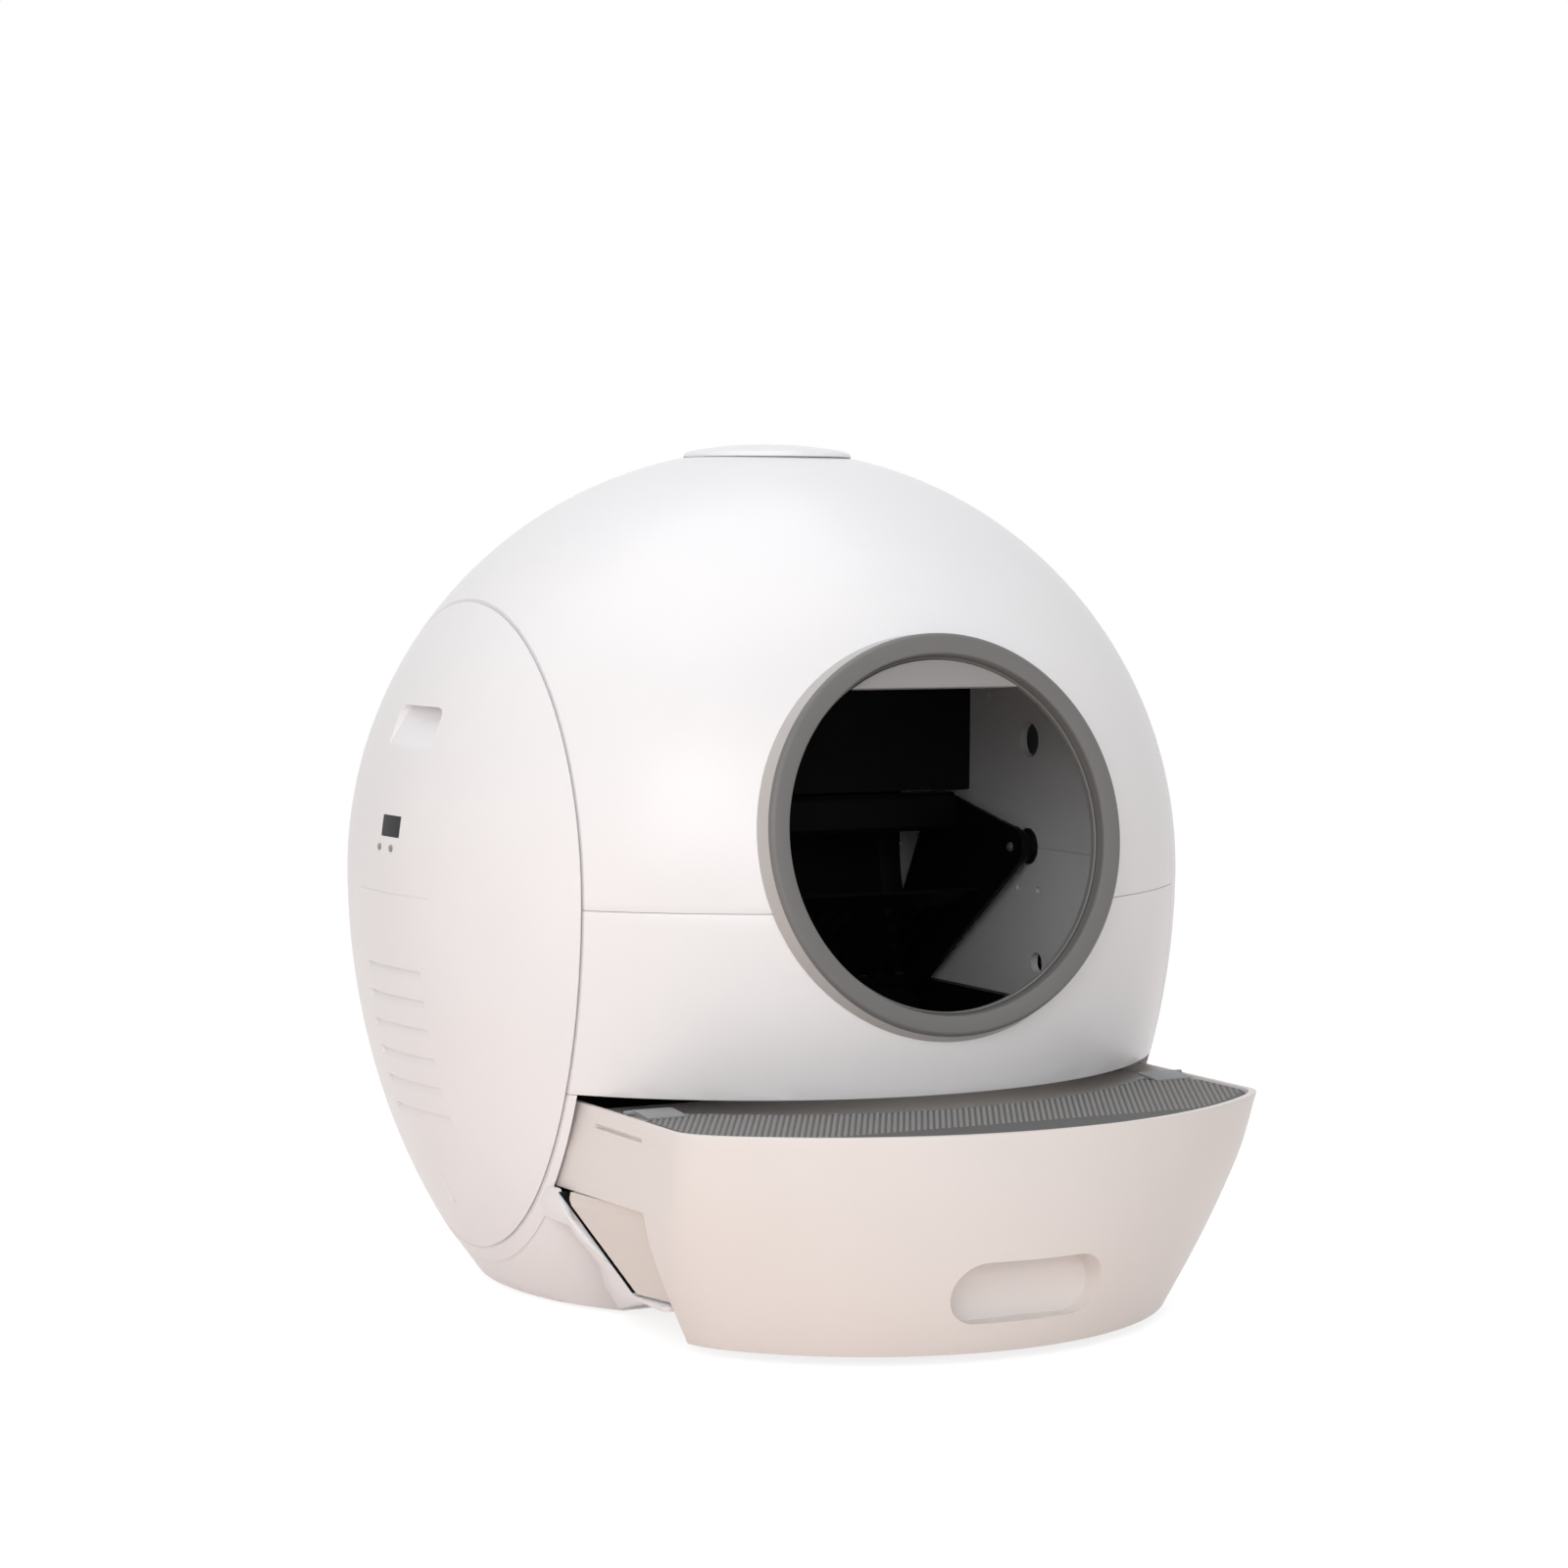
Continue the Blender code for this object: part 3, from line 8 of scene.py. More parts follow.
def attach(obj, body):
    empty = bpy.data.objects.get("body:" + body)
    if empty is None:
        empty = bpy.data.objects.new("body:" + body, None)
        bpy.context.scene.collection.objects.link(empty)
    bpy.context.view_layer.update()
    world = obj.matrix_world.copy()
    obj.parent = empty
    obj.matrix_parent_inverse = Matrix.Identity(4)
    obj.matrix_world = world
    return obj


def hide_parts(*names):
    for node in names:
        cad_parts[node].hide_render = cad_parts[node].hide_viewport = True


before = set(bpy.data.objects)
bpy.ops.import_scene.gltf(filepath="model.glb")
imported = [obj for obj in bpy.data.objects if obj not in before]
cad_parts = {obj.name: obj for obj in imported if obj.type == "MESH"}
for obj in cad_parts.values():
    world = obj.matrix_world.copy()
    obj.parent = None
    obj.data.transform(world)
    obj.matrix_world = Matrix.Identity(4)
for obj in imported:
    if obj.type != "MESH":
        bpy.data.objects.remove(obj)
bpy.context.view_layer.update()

# Dome
# The upper half of the ball is one thick white ABS moulding with closed flat sides. It lifts off
# at a fine seam below the middle, and its satin skin keeps a faint ripple from the mould.
ball_middle = Vector((0, 0.0475, 0.300))
ball_radius = 0.310
front_depth = 0.292
front_squeeze = front_depth / ball_radius
low_stretch = 1.33
shell_thickness = 0.004
side_plane = 0.236
inner_plane = 0.230
seam_height = -0.005
lap_front, lap_back = -0.184, 0.196
lap_under, lap_over = -0.1, 0.05
hair_gap = 0.0003
axle_height = 0.008
axle_hole_radius = 0.0143
screw_hole_radius = 0.0025
dome_wall_hole = (0.0135, 0, 0.0905)
dome_screw_hole = (screw_hole_radius, 0.060, 0.122)
cap_hole_radius = 0.0545
ring_middle = (-0.0023, -0.276, 0.0453)
ring_lean = math.radians(-8.0)
ring_turn = Matrix.Rotation(ring_lean, 3, "X")
entrance_hole = (0.1379, -0.06, 0.09)
reach_past, height_past = 0.35, 0.5
mould_round = 0.0006
seam_beyond = 0.25
same_level = 1e-5


def rows_joined(rows):
    """Skins a list of closed point loops of equal length, and caps both ends."""
    mesh = bmesh.new()
    loops = [[mesh.verts.new(point) for point in row] for row in rows]
    for first, second in zip(loops, loops[1:]):
        count = len(first)
        for i in range(count):
            j = (i + 1) % count
            mesh.faces.new((first[i], first[j], second[j], second[i]))
    mesh.faces.new(loops[0])
    mesh.faces.new(loops[-1])
    return mesh


def turned(profile, steps, axis, closed=True):
    """Turns a profile of (radius, height) about an axis. Radius 0 makes a pole; an open profile
    gets flat ends."""
    mesh = bmesh.new()
    rings = []
    for radius, height in profile:
        ring = []
        for i in range(steps if radius else 1):
            angle = 2 * math.pi * i / steps
            a, b = radius * math.cos(angle), radius * math.sin(angle)
            places = {"X": (height, a, b), "Y": (a, height, b), "Z": (a, b, height)}
            ring.append(mesh.verts.new(places[axis]))
        rings.append(ring)
    pairs = list(zip(rings, rings[1:])) + ([(rings[-1], rings[0])] if closed else [])
    for one, two in pairs:
        if len(one) == 1 and len(two) == 1:
            continue
        for i in range(steps):
            j = (i + 1) % steps
            corners = (one[i % len(one)], one[j % len(one)], two[j % len(two)], two[i % len(two)])
            mesh.faces.new(list(dict.fromkeys(corners)))
    for ring in () if closed else (rings[0], rings[-1]):
        if len(ring) > 1:
            mesh.faces.new(ring)
    return mesh


def extruded(outline, start, end, axis):
    """A flat outline drawn out along X (y, z), Y (x, z) or Z (x, y)."""
    places = {"X": lambda a, b, d: (d, a, b), "Y": lambda a, b, d: (a, d, b),
              "Z": lambda a, b, d: (a, b, d)}
    place = places[axis]
    return rows_joined([[place(a, b, depth) for a, b in outline] for depth in (start, end)])


def block(low, high):
    """A box between its lowest and its highest corner."""
    outline = [(low[0], low[1]), (high[0], low[1]), (high[0], high[1]), (low[0], high[1])]
    return extruded(outline, low[2], high[2], "Z")


def slab(low, high):
    """A level layer wider than the whole body, for a straight cut across it."""
    return block((-reach_past, -reach_past, low), (reach_past, reach_past, high))


def rod(radius, start, end, axis, middle=(0, 0, 0), steps=48):
    """A round bar along an axis."""
    mesh = turned([(radius, start), (radius, end)], steps, axis, closed=False)
    bmesh.ops.translate(mesh, verts=mesh.verts, vec=Vector(middle))
    return mesh


def wall_hole(radius, place, rise):
    """The tool for a round hole through both side walls."""
    return rod(radius, -reach_past, reach_past, "X", (0, place, rise))


def ball_formed(mesh):
    """Presses a true ball into the body's form: flatter in front, longer below."""
    for vert in mesh.verts:
        vert.co.y *= front_squeeze if vert.co.y < 0 else 1
        vert.co.z *= low_stretch if vert.co.z < 0 else 1
    return mesh


def ball_slice(radius, half_width, steps=160, rows=44):
    """The body's form between two upright planes, one on each side."""
    half_angle = math.asin(half_width / radius)
    angles = [half_angle * (2 * i / rows - 1) for i in range(rows + 1)]
    profile = [(radius * math.cos(a), radius * math.sin(a)) for a in angles]
    return ball_formed(turned(profile, steps, "X", closed=False))


def leaned(mesh):
    """Puts a mesh made about the ring's own axis in the ring's place."""
    bmesh.ops.rotate(mesh, verts=mesh.verts, cent=(0, 0, 0), matrix=ring_turn)
    bmesh.ops.translate(mesh, verts=mesh.verts, vec=Vector(ring_middle))
    return mesh


def moulded(name, mesh):
    """Makes an object of a closed mesh, in the body's own coordinates."""
    bmesh.ops.recalc_face_normals(mesh, faces=mesh.faces)
    data = bpy.data.meshes.new(name)
    mesh.to_mesh(data)
    mesh.free()
    piece = bpy.data.objects.new(name, data)
    bpy.context.scene.collection.objects.link(piece)
    return piece


def cut(piece, parts, operation="DIFFERENCE"):
    """Cuts a group of separate forms from a piece, or joins them to it."""
    group = bmesh.new()
    for part in parts:
        data = bpy.data.meshes.new("form")
        bmesh.ops.recalc_face_normals(part, faces=part.faces)
        part.to_mesh(data)
        part.free()
        group.from_mesh(data)
        bpy.data.meshes.remove(data)
    former = moulded("former", group)
    change = piece.modifiers.new("cut", "BOOLEAN")
    change.operation = operation
    change.solver = "EXACT"
    change.object = former
    bpy.context.view_layer.update()
    shaped = piece.evaluated_get(bpy.context.evaluated_depsgraph_get())
    shaped = bpy.data.meshes.new_from_object(shaped)
    piece.modifiers.clear()
    old = piece.data
    piece.data = shaped
    bpy.data.meshes.remove(old)
    bpy.data.objects.remove(former, do_unlink=True)
    return piece


def eased(piece, width, chosen, steps=2, sharp=math.radians(25)):
    """Rounds the sharp edges whose two ends pass a test."""
    mesh = bmesh.new()
    mesh.from_mesh(piece.data)
    edges = [e for e in mesh.edges if chosen(e.verts[0].co) and chosen(e.verts[1].co)
             and len(e.link_faces) == 2 and e.calc_face_angle(0) > sharp]
    bmesh.ops.bevel(mesh, geom=edges, offset=width, segments=steps, affect="EDGES", profile=0.5,
                    clamp_overlap=True)
    mesh.to_mesh(piece.data)
    mesh.free()
    return piece


def at_level(height, beyond=0.0):
    """Picks the points of a level edge that lie outside a radius."""
    return lambda p: abs(p.z - height) < same_level and math.hypot(p.x, p.y) > beyond


def with_finish(data, finish, smooth_under):
    """Gives a mesh its material, and smooth faces up to an angle."""
    data.materials.clear()
    data.materials.append(finish)
    data.shade_smooth()
    data.set_sharp_from_angle(angle=smooth_under)


def fitted(piece, body, finish, nodes=()):
    """Moves a piece to its place, gives it its finish and hangs it on its CAD body."""
    piece.data.transform(Matrix.Translation(ball_middle))
    with_finish(piece.data, finish, math.radians(32))
    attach(piece, body)
    if nodes:
        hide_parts(*nodes)
    return piece


def noise(nodes, links, place, scale, detail=2):
    """Cloudy noise that is fixed to the piece."""
    node = nodes.new("ShaderNodeTexNoise")
    node.inputs["Scale"].default_value = scale
    node.inputs["Detail"].default_value = detail
    links.new(place, node.inputs["Vector"])
    return node.outputs["Fac"]


def ramp(nodes, links, source, low, high, positions=(0, 1)):
    """Runs between two colours with a source."""
    node = nodes.new("ShaderNodeValToRGB")
    ends = node.color_ramp.elements
    ends[0].position, ends[1].position = positions
    ends[0].color, ends[1].color = (*low, 1), (*high, 1)
    links.new(source, node.inputs["Fac"])
    return node.outputs["Color"]


def spanned(nodes, links, source, low, high):
    """Runs between two values with a source."""
    node = nodes.new("ShaderNodeMapRange")
    node.inputs["To Min"].default_value = low
    node.inputs["To Max"].default_value = high
    links.new(source, node.inputs["Value"])
    return node.outputs["Result"]


def bump(nodes, links, source, strength, distance):
    """Raises the surface with a source."""
    node = nodes.new("ShaderNodeBump")
    node.inputs["Strength"].default_value = strength
    node.inputs["Distance"].default_value = distance
    links.new(source, node.inputs["Height"])
    return node


def plastic(name, colour, roughness, ripple=0.02, grain=0.0, cloudiness=0.015):
    """Moulded plastic: faint clouds in the colour, a slow ripple from the mould, a fine grain."""
    finish = bpy.data.materials.new(name)
    finish.use_nodes = True
    nodes, links = finish.node_tree.nodes, finish.node_tree.links
    shader = nodes["Principled BSDF"]
    place = nodes.new("ShaderNodeTexCoord").outputs["Object"]
    clouds = noise(nodes, links, place, scale=7, detail=3)
    darker = [max(c - cloudiness, 0) for c in colour]
    lighter = [min(c + cloudiness, 1) for c in colour]
    tint = ramp(nodes, links, clouds, darker, lighter, positions=(0.3, 0.7))
    links.new(tint, shader.inputs["Base Color"])
    gloss = spanned(nodes, links, clouds, roughness * 0.88, roughness * 1.12)
    links.new(gloss, shader.inputs["Roughness"])
    wave = bump(nodes, links, noise(nodes, links, place, scale=38, detail=1), ripple, 0.002)
    grit = bump(nodes, links, noise(nodes, links, place, scale=1400), grain, 0.0003)
    links.new(wave.outputs["Normal"], grit.inputs["Normal"])
    links.new(grit.outputs["Normal"], shader.inputs["Normal"])
    return finish


white = plastic("white_moulding", (0.86, 0.86, 0.875), 0.34, grain=0.03)
upper = moulded("dome_moulding", ball_slice(ball_radius, side_plane))
cut(upper, [ball_slice(ball_radius - shell_thickness, inner_plane)])
cut(upper, [slab(-height_past, seam_height)])
for side in (-1, 1):
    ends = sorted((side * (inner_plane - hair_gap * 2), side * reach_past))
    cut(upper, [block((ends[0], lap_front, lap_under), (ends[1], lap_back, axle_height))])
cut(upper, [leaned(rod(*entrance_hole, "Y", steps=96)), rod(cap_hole_radius, 0, reach_past, "Z")])
cut(upper, [wall_hole(axle_hole_radius, 0, axle_height), wall_hole(*dome_wall_hole),
            wall_hole(*dome_screw_hole)])
eased(upper, mould_round, at_level(seam_height, seam_beyond))
fitted(upper, "dome", white, ["upper_housing"])

# Lower housing
# The lower half of the ball is the same white moulding. It carries the tray and the bushes of the
# rake. Behind the covers its side walls rise past the seam to the axle, in a lap with the dome's.
chin_height = -0.133
lower_seam = seam_height - hair_gap
chin_round, chin_beyond = 0.0012, 0.2
low_wall_hole = (0.008, -0.014, -0.0816)
bush_screw_place, bush_screw_height = 0.0146, -0.025
lower = moulded("lower_moulding", ball_slice(ball_radius, side_plane))
cut(lower, [ball_slice(ball_radius - shell_thickness, inner_plane)])
cut(lower, [slab(axle_height - hair_gap, height_past), slab(-height_past, chin_height)])
cut(lower, [block((-inner_plane + hair_gap, -reach_past, lower_seam),
                  (inner_plane - hair_gap, reach_past, lap_over))])
for start, end in ((-reach_past, lap_front + hair_gap), (lap_back - hair_gap, reach_past)):
    cut(lower, [block((-reach_past, start, lower_seam), (reach_past, end, lap_over))])
cut(lower, [leaned(rod(*entrance_hole, "Y", steps=96))])
cut(lower, [wall_hole(axle_hole_radius, 0, axle_height), wall_hole(*low_wall_hole),
            wall_hole(screw_hole_radius, -bush_screw_place, bush_screw_height),
            wall_hole(screw_hole_radius, bush_screw_place, bush_screw_height)])
eased(lower, mould_round, at_level(lower_seam, seam_beyond))
eased(lower, chin_round, at_level(chin_height, chin_beyond))
fitted(lower, "stand", white, ["lower_housing"])

# Base
# The white floor pan carries everything: the foot of the ball, two cheeks beside the drawer, and
# the ledge that the drawer slides on. One thick moulding with a slanted front wall.
base_top = chin_height - hair_gap
base_low = -0.297
base_thickness = 0.008
slant_top, slant_foot = (0.1475, 0.208), (0.2005, 0.268)
front_past = -0.415
bay_low, low_bay_top = -0.2077, -0.2014
bay_half, bay_back, bay_top = 0.232, -0.1085, -0.1
rim_inside, rim_step, rim_over = 0.2305, 0.0010, 0.02
cheek_front = -0.245
ledge_half, ledge_front, ledge_low, ledge_top = 0.172, -0.283, -0.273, -0.2665
tray_radius = 0.2083
saddle_reach, saddle_foot = 0.1, -0.2895
saddle_place, saddle_thickness = 0.120, 0.006
inlet_hole, inlet_place = 0.0083, (-0.080, 0, -0.215)
wall_edge_front, wall_edge_height, wall_edge_round = -0.1405, -0.2, 0.0009


def curve_points(radius, first, last, count, middle=(0, 0)):
    """Points along an arc."""
    angles = [first + (last - first) * i / count for i in range(count + 1)]
    return [(middle[0] + radius * math.cos(a), middle[1] + radius * math.sin(a)) for a in angles]


def taken(piece):
    """Takes the mesh out of an object that only served to shape it."""
    mesh = bmesh.new()
    mesh.from_mesh(piece.data)
    bpy.data.objects.remove(piece, do_unlink=True)
    return mesh


base = moulded("base_moulding", ball_slice(ball_radius, side_plane))
cut(base, [slab(base_top, height_past), slab(-height_past, base_low)])
foot_edge = [(0.212, base_low - 0.01), (0.212, base_low), (0.2145, base_low + 0.0012),
             (0.224, base_low + 0.012), (0.32, base_low + 0.012), (0.32, base_low - 0.01)]
cut(base, [turned(foot_edge, 160, "Z")])
cheek = [(0.2355, -0.2017), (0.2355, -0.215), (0.2276, -0.232), (0.2106, -0.254),
         (0.2036, -0.270), (0.1888, -0.2915), (0.1866, -0.296)]
cut(base, [extruded([(-x, z) for x, z in cheek] + cheek[::-1], cheek_front, 0, "Y")], "UNION")
cut(base, [block((-ledge_half, ledge_front, ledge_low), (ledge_half, 0, ledge_top))], "UNION")
under_nose = [(-0.118, base_low - 0.01), (-0.118, base_low), (-0.205, -0.2715),
              (front_past, -0.2715), (front_past, base_low - 0.01)]
cut(base, [extruded(under_nose, -reach_past, reach_past, "X")])
rim_skin = moulded("rim_skin", ball_slice(ball_radius + rim_over, rim_inside, 120, 32))
cut(rim_skin, [ball_slice(ball_radius - rim_step, side_plane)])
cut(base, [taken(rim_skin)])
pan = moulded("pan", ball_slice(ball_radius - base_thickness, inner_plane, 120, 32))
hollow_side = [(0.31, -0.12), (-0.292, -0.12), (-0.292, -0.208), (-0.1415, -0.208),
               (-0.1885, -0.262), (-0.1885, -0.268), (-0.133, -0.282), (0.31, -0.282)]
cut(pan, [extruded(hollow_side, -reach_past, reach_past, "X")], "INTERSECT")
cut(base, [taken(pan)])
slope = (slant_foot[0] - slant_top[0]) / (slant_foot[1] - slant_top[1])
low_bay_start = -slant_top[0] + slope * (slant_top[1] + low_bay_top)
low_bay = [(low_bay_start, low_bay_top), (-slant_foot[0], -slant_foot[1]),
           (front_past, -slant_foot[1]), (front_past, low_bay_top)]
cut(base, [extruded(low_bay, -reach_past, reach_past, "X")])
cut(base, [block((-bay_half, front_past, bay_low), (bay_half, bay_back, bay_top))])
saddle_half = math.asin(saddle_reach / tray_radius)
saddle = curve_points(tray_radius, -math.pi / 2 - saddle_half, -math.pi / 2 + saddle_half, 32,
                      (0, axle_height))
saddle += [(saddle_reach, saddle_foot), (-saddle_reach, saddle_foot)]
for side in (-1, 1):
    start = side * saddle_place - saddle_thickness / 2
    cut(base, [extruded(saddle, start, start + saddle_thickness, "X")], "UNION")
cut(base, [rod(inlet_hole, 0, reach_past, "Y", inlet_place)])
eased(base, wall_edge_round, lambda p: p.y < wall_edge_front and p.z < wall_edge_height)
fitted(base, "stand", white, ["base"])

# Painted shade in the drawer gap
# A thin black sheet lies on the base's slanted wall, where the bin closes against it. It is painted
# shade: its edge shows as a black line beside the bin, standing in for the shade in the gap.
inner_black = plastic("inner_black_moulding", (0.0065, 0.0065, 0.0075), 0.46, grain=0.05,
                      cloudiness=0.001)
inner_black.node_tree.nodes["Principled BSDF"].inputs["Specular IOR Level"].default_value = 0.12
gap_shade_thickness = 0.0016
gap_shade_top, gap_shade_height, gap_shade_rows = -0.2035, 0.0625, 14
gap_shade_lift, gap_shade_inset = 0.0002, 0.0003


def gap_line_reach(height):
    """Half width of the straight line at which the bin's rear edge meets the base."""
    return 0.2338 + 0.47 * (height + 0.2058)


gap_shade = []
for i in range(gap_shade_rows + 1):
    height = gap_shade_top - gap_shade_height * i / gap_shade_rows
    lies = -slant_top[0] - slope * (-slant_top[1] - height) - gap_shade_lift
    half = gap_line_reach(height) - gap_shade_inset
    gap_shade.append([(-half, lies, height), (half, lies, height),
                 (half, lies - gap_shade_thickness, height), (-half, lies - gap_shade_thickness, height)])
# The black sheet is painted shade for the dark gap beside the bin.
fitted(moulded("drawer_gap_painted_shade", rows_joined(gap_shade)), "stand", inner_black)

# Painted shade behind the rake
# A black curved sheet carries the tray's rear wall up to the back panel, behind the whole sweep of
# the rake: it is painted shade on the white inside of the shell. Its ends curve forward beside the
# side walls.
shade_sheet_thickness = 0.0012
shade_sheet_low, shade_sheet_height, shade_sheet_rows = -0.1085, 0.158, 24
shade_sheet_reaches = ((0, 0.2125), (0.2170, 0.2125), (0.2228, 0.2080), (0.2294, 0.2002))
heights = [shade_sheet_low + shade_sheet_height * i / shade_sheet_rows for i in range(shade_sheet_rows + 1)]


def behind_axle(radius, height):
    """How far behind the axle an upright round wall stands at a height."""
    return math.sqrt(radius ** 2 - (height - axle_height) ** 2)


shade_sheet = []
for half, reach in [(-h, r) for h, r in reversed(shade_sheet_reaches[1:])] + list(shade_sheet_reaches):
    outer = [(half, behind_axle(reach + shade_sheet_thickness, z), z) for z in heights]
    inner = [(half, behind_axle(reach, z), z) for z in reversed(heights)]
    shade_sheet.append(outer + inner)
# The black sheet is painted shade on the white shell behind the rake.
fitted(moulded("rear_painted_shade", rows_joined(shade_sheet)), "stand", inner_black)

# Side covers
# Thin domed covers close both sides of the ball, each with a finger pocket, six louvred air slots
# and a small release recess. They clip on with a fine shadow gap; the left one holds the display.
cover_edge = side_plane + 0.0008
cover_thickness = 0.003
cover_round = 0.0012
cover_rows = 22
groove = [(0.003, -0.0048), (-0.0004, -0.0048), (-0.0004, -0.0052), (0.003, -0.0052)]
louvre_count, louvre_top, louvre_pitch = 6, -0.0572, 0.0207
louvre_ends = (-0.057, 0.031)
button_hole, button_height, button_places = 0.0025, 0.0265, (-0.0025, -0.0215)
window_middle, window_half = 0.042, 0.00725


def cover_shell(side):
    """Domed skin with a rounded edge, as a turned profile about X."""
    edge_middle = cover_edge + cover_round
    outer_reach = math.sqrt(ball_radius ** 2 - edge_middle ** 2)
    first = math.atan2(outer_reach, edge_middle)
    profile = [(outer_reach - cover_round, cover_edge),
               (outer_reach - cover_round * 0.3, cover_edge + cover_round * 0.3)]
    for i in range(cover_rows):
        angle = first * (1 - i / cover_rows)
        profile.append((ball_radius * math.sin(angle), ball_radius * math.cos(angle)))
    inside = ball_radius - cover_thickness
    profile += [(0, ball_radius), (0, inside)]
    last = math.acos(cover_edge / inside)
    for i in range(1, cover_rows + 1):
        angle = last * i / cover_rows
        profile.append((inside * math.sin(angle), inside * math.cos(angle)))
    return ball_formed(turned([(reach, side * x) for reach, x in profile], 144, "X"))


def skin_reach(place, rise):
    """How far the cover's outer face lies from the middle plane, at a place and a height."""
    y = place / front_squeeze if place < 0 else place
    z = rise / low_stretch if rise < 0 else rise
    return math.sqrt(ball_radius ** 2 - y * y - z * z)


def along_skin(side, near, far, section, steps=12):
    """A form that follows the dome: pairs of (distance out of the skin, height) at stations."""
    stations = [near + (far - near) * i / steps for i in range(steps + 1)]
    return rows_joined([[(side * (skin_reach(y, z) + out), y, z) for out, z in section]
                        for y in stations])


def louvre(side, top):
    """A shallow scoop: a step under its upper edge, and a floor that slopes out to the skin."""
    section = [(0.004, top), (-0.0025, top), (-0.0025, top - 0.0018), (0.0007, top - 0.0074),
               (0.004, top - 0.0074)]
    return along_skin(side, *louvre_ends, section)


def pocket(side, grow, outside):
    """The finger pocket, deepest at its top and its front; grown by a wall, the cup behind it."""
    top, low, middle, half, corner, deep = 0.126, 0.098, -0.0165, 0.033, 0.007, 0.0125
    steps = 16
    rows = []
    for i in range(steps + 1):
        rise = top + grow - (top - low + grow * 2) * i / steps
        share = min(max((rise - low) / (top - low), 0), 1)
        tuck = max(corner - max(top - rise, 0), 0)
        reach = half + grow - corner + math.sqrt(corner ** 2 - tuck ** 2)
        places = [middle + reach * (2 * k / steps - 1) for k in range(steps + 1)]
        floor_line = []
        for y in places:
            inward = deep * (0.55 + 0.45 * min(max((middle + half - y) / half, 0), 1))
            x = skin_reach(y, low) * (1 - share) + (skin_reach(y, top) - inward) * share - grow
            floor_line.append((side * x, y, rise))
        outer_line = [(side * (skin_reach(y, rise) + outside), y, rise) for y in reversed(places)]
        rows.append(floor_line + outer_line)
    return rows_joined(rows)


def release_recess(side):
    """A small upright slot with round ends, deeper at its front."""
    top, length, middle, round_end, steps = -0.2080, 0.023, -0.013, 0.004, 12
    rows = []
    for i in range(steps + 1):
        down = length * i / steps
        rise = top - down
        tuck = max(round_end - min(down, length - down), 0)
        half = math.sqrt(max(round_end ** 2 - tuck ** 2, 1e-8))
        near, far = middle - half, middle + half
        rows.append([(side * (skin_reach(y, rise) + out), y, rise)
                     for out, y in ((-0.0022, near), (-0.0014, far), (0.004, far), (0.004, near))])
    return rows_joined(rows)


def glass_plate(near, far, grow, over, under):
    """A plate that follows the dome, with the display's height."""
    heights = [window_middle + (window_half + grow) * (1 - i / 3) for i in range(7)]
    section = [(over, z) for z in heights] + [(under, z) for z in heights[::-1]]
    return along_skin(-1, near, far, section)


covers = {}
for side, name in ((-1, "left"), (1, "right")):
    cover = moulded("side_cover_moulding_" + name, cover_shell(side))
    cut(cover, [pocket(side, cover_thickness, -0.0015)], "UNION")
    cut(cover, [pocket(side, 0, 0.01)])
    cut(cover, [louvre(side, louvre_top - louvre_pitch * i) for i in range(louvre_count)])
    cut(cover, [release_recess(side)])
    cut(cover, [along_skin(side, -0.071, 0.037, groove)])
    covers[name] = cover
cut(covers["left"], [glass_plate(-0.0318, -0.0032, hair_gap, 0.01, -0.01)])
cut(covers["left"], [rod(button_hole, -0.32, -0.29, "X", (0, place, button_height))
                     for place in button_places])
for name, cover in covers.items():
    fitted(cover, name + "_cover", white, ["side_cover_" + name])

# Display window
# A smoked black acrylic plate is set flush in the left cover, bent to the cover's curve. It is off
# and shows nothing.
window_black = plastic("window_black", (0.006, 0.006, 0.007), 0.30, cloudiness=0.001)
window_black.node_tree.nodes["Principled BSDF"].inputs["Specular IOR Level"].default_value = 0.2
window = moulded("display_glass", glass_plate(-0.0315, -0.0035, 0, -0.0003, -0.0028))
fitted(window, "left_cover", window_black, ["display_window"])

# Entrance ring
# A grey collar stands proud of the ball round the entrance, with a double lip inside; a paler
# sleeve fills the step between it and the ball. Both are fine-grained matte plastic.
ring_outer, ring_inner, ring_lip = 0.1376, 0.1203, 0.1232
ring_wall, skirt_end, ledge_depth = 0.003, 0.050, 0.0125
skirt_inside, skirt_least = 0.004, 0.014
ring_grey = plastic("ring_grey_moulding", (0.158, 0.157, 0.155), 0.46, grain=0.12,
                    cloudiness=0.006)
collar = [(ring_inner, ledge_depth), (ring_inner, 0.0096), (ring_inner + 0.0003, 0.0086),
          (ring_inner + 0.0009, 0.0081), (ring_inner + 0.0015, 0.0084),
          (ring_inner + 0.0018, 0.0094), (ring_inner + 0.0023, 0.0094),
          (ring_inner + 0.0025, 0.0080), (ring_lip - 0.0003, 0.0024), (ring_lip, 0.0012),
          (ring_lip + 0.0007, 0.0003), (ring_lip + 0.0018, 0), (ring_outer - 0.0034, 0),
          (ring_outer - 0.0020, 0.0003), (ring_outer - 0.0008, 0.0012),
          (ring_outer - 0.0001, 0.0026), (ring_outer, 0.004), (ring_outer, skirt_end),
          (ring_outer - ring_wall, skirt_end), (ring_outer - ring_wall, ledge_depth)]
collar_form = turned(collar, 160, "Y")


def depth_to_ball(u, v, radius, step=0.0005, tries=160):
    """How far behind the ring's face the line through a place on it meets the ball."""
    for i in range(tries):
        point = ring_turn @ Vector((u, i * step, v)) + Vector(ring_middle)
        y = point.y / front_squeeze
        z = point.z / low_stretch if point.z < 0 else point.z
        if point.x ** 2 + y ** 2 + z ** 2 < radius ** 2:
            break
    return i * step


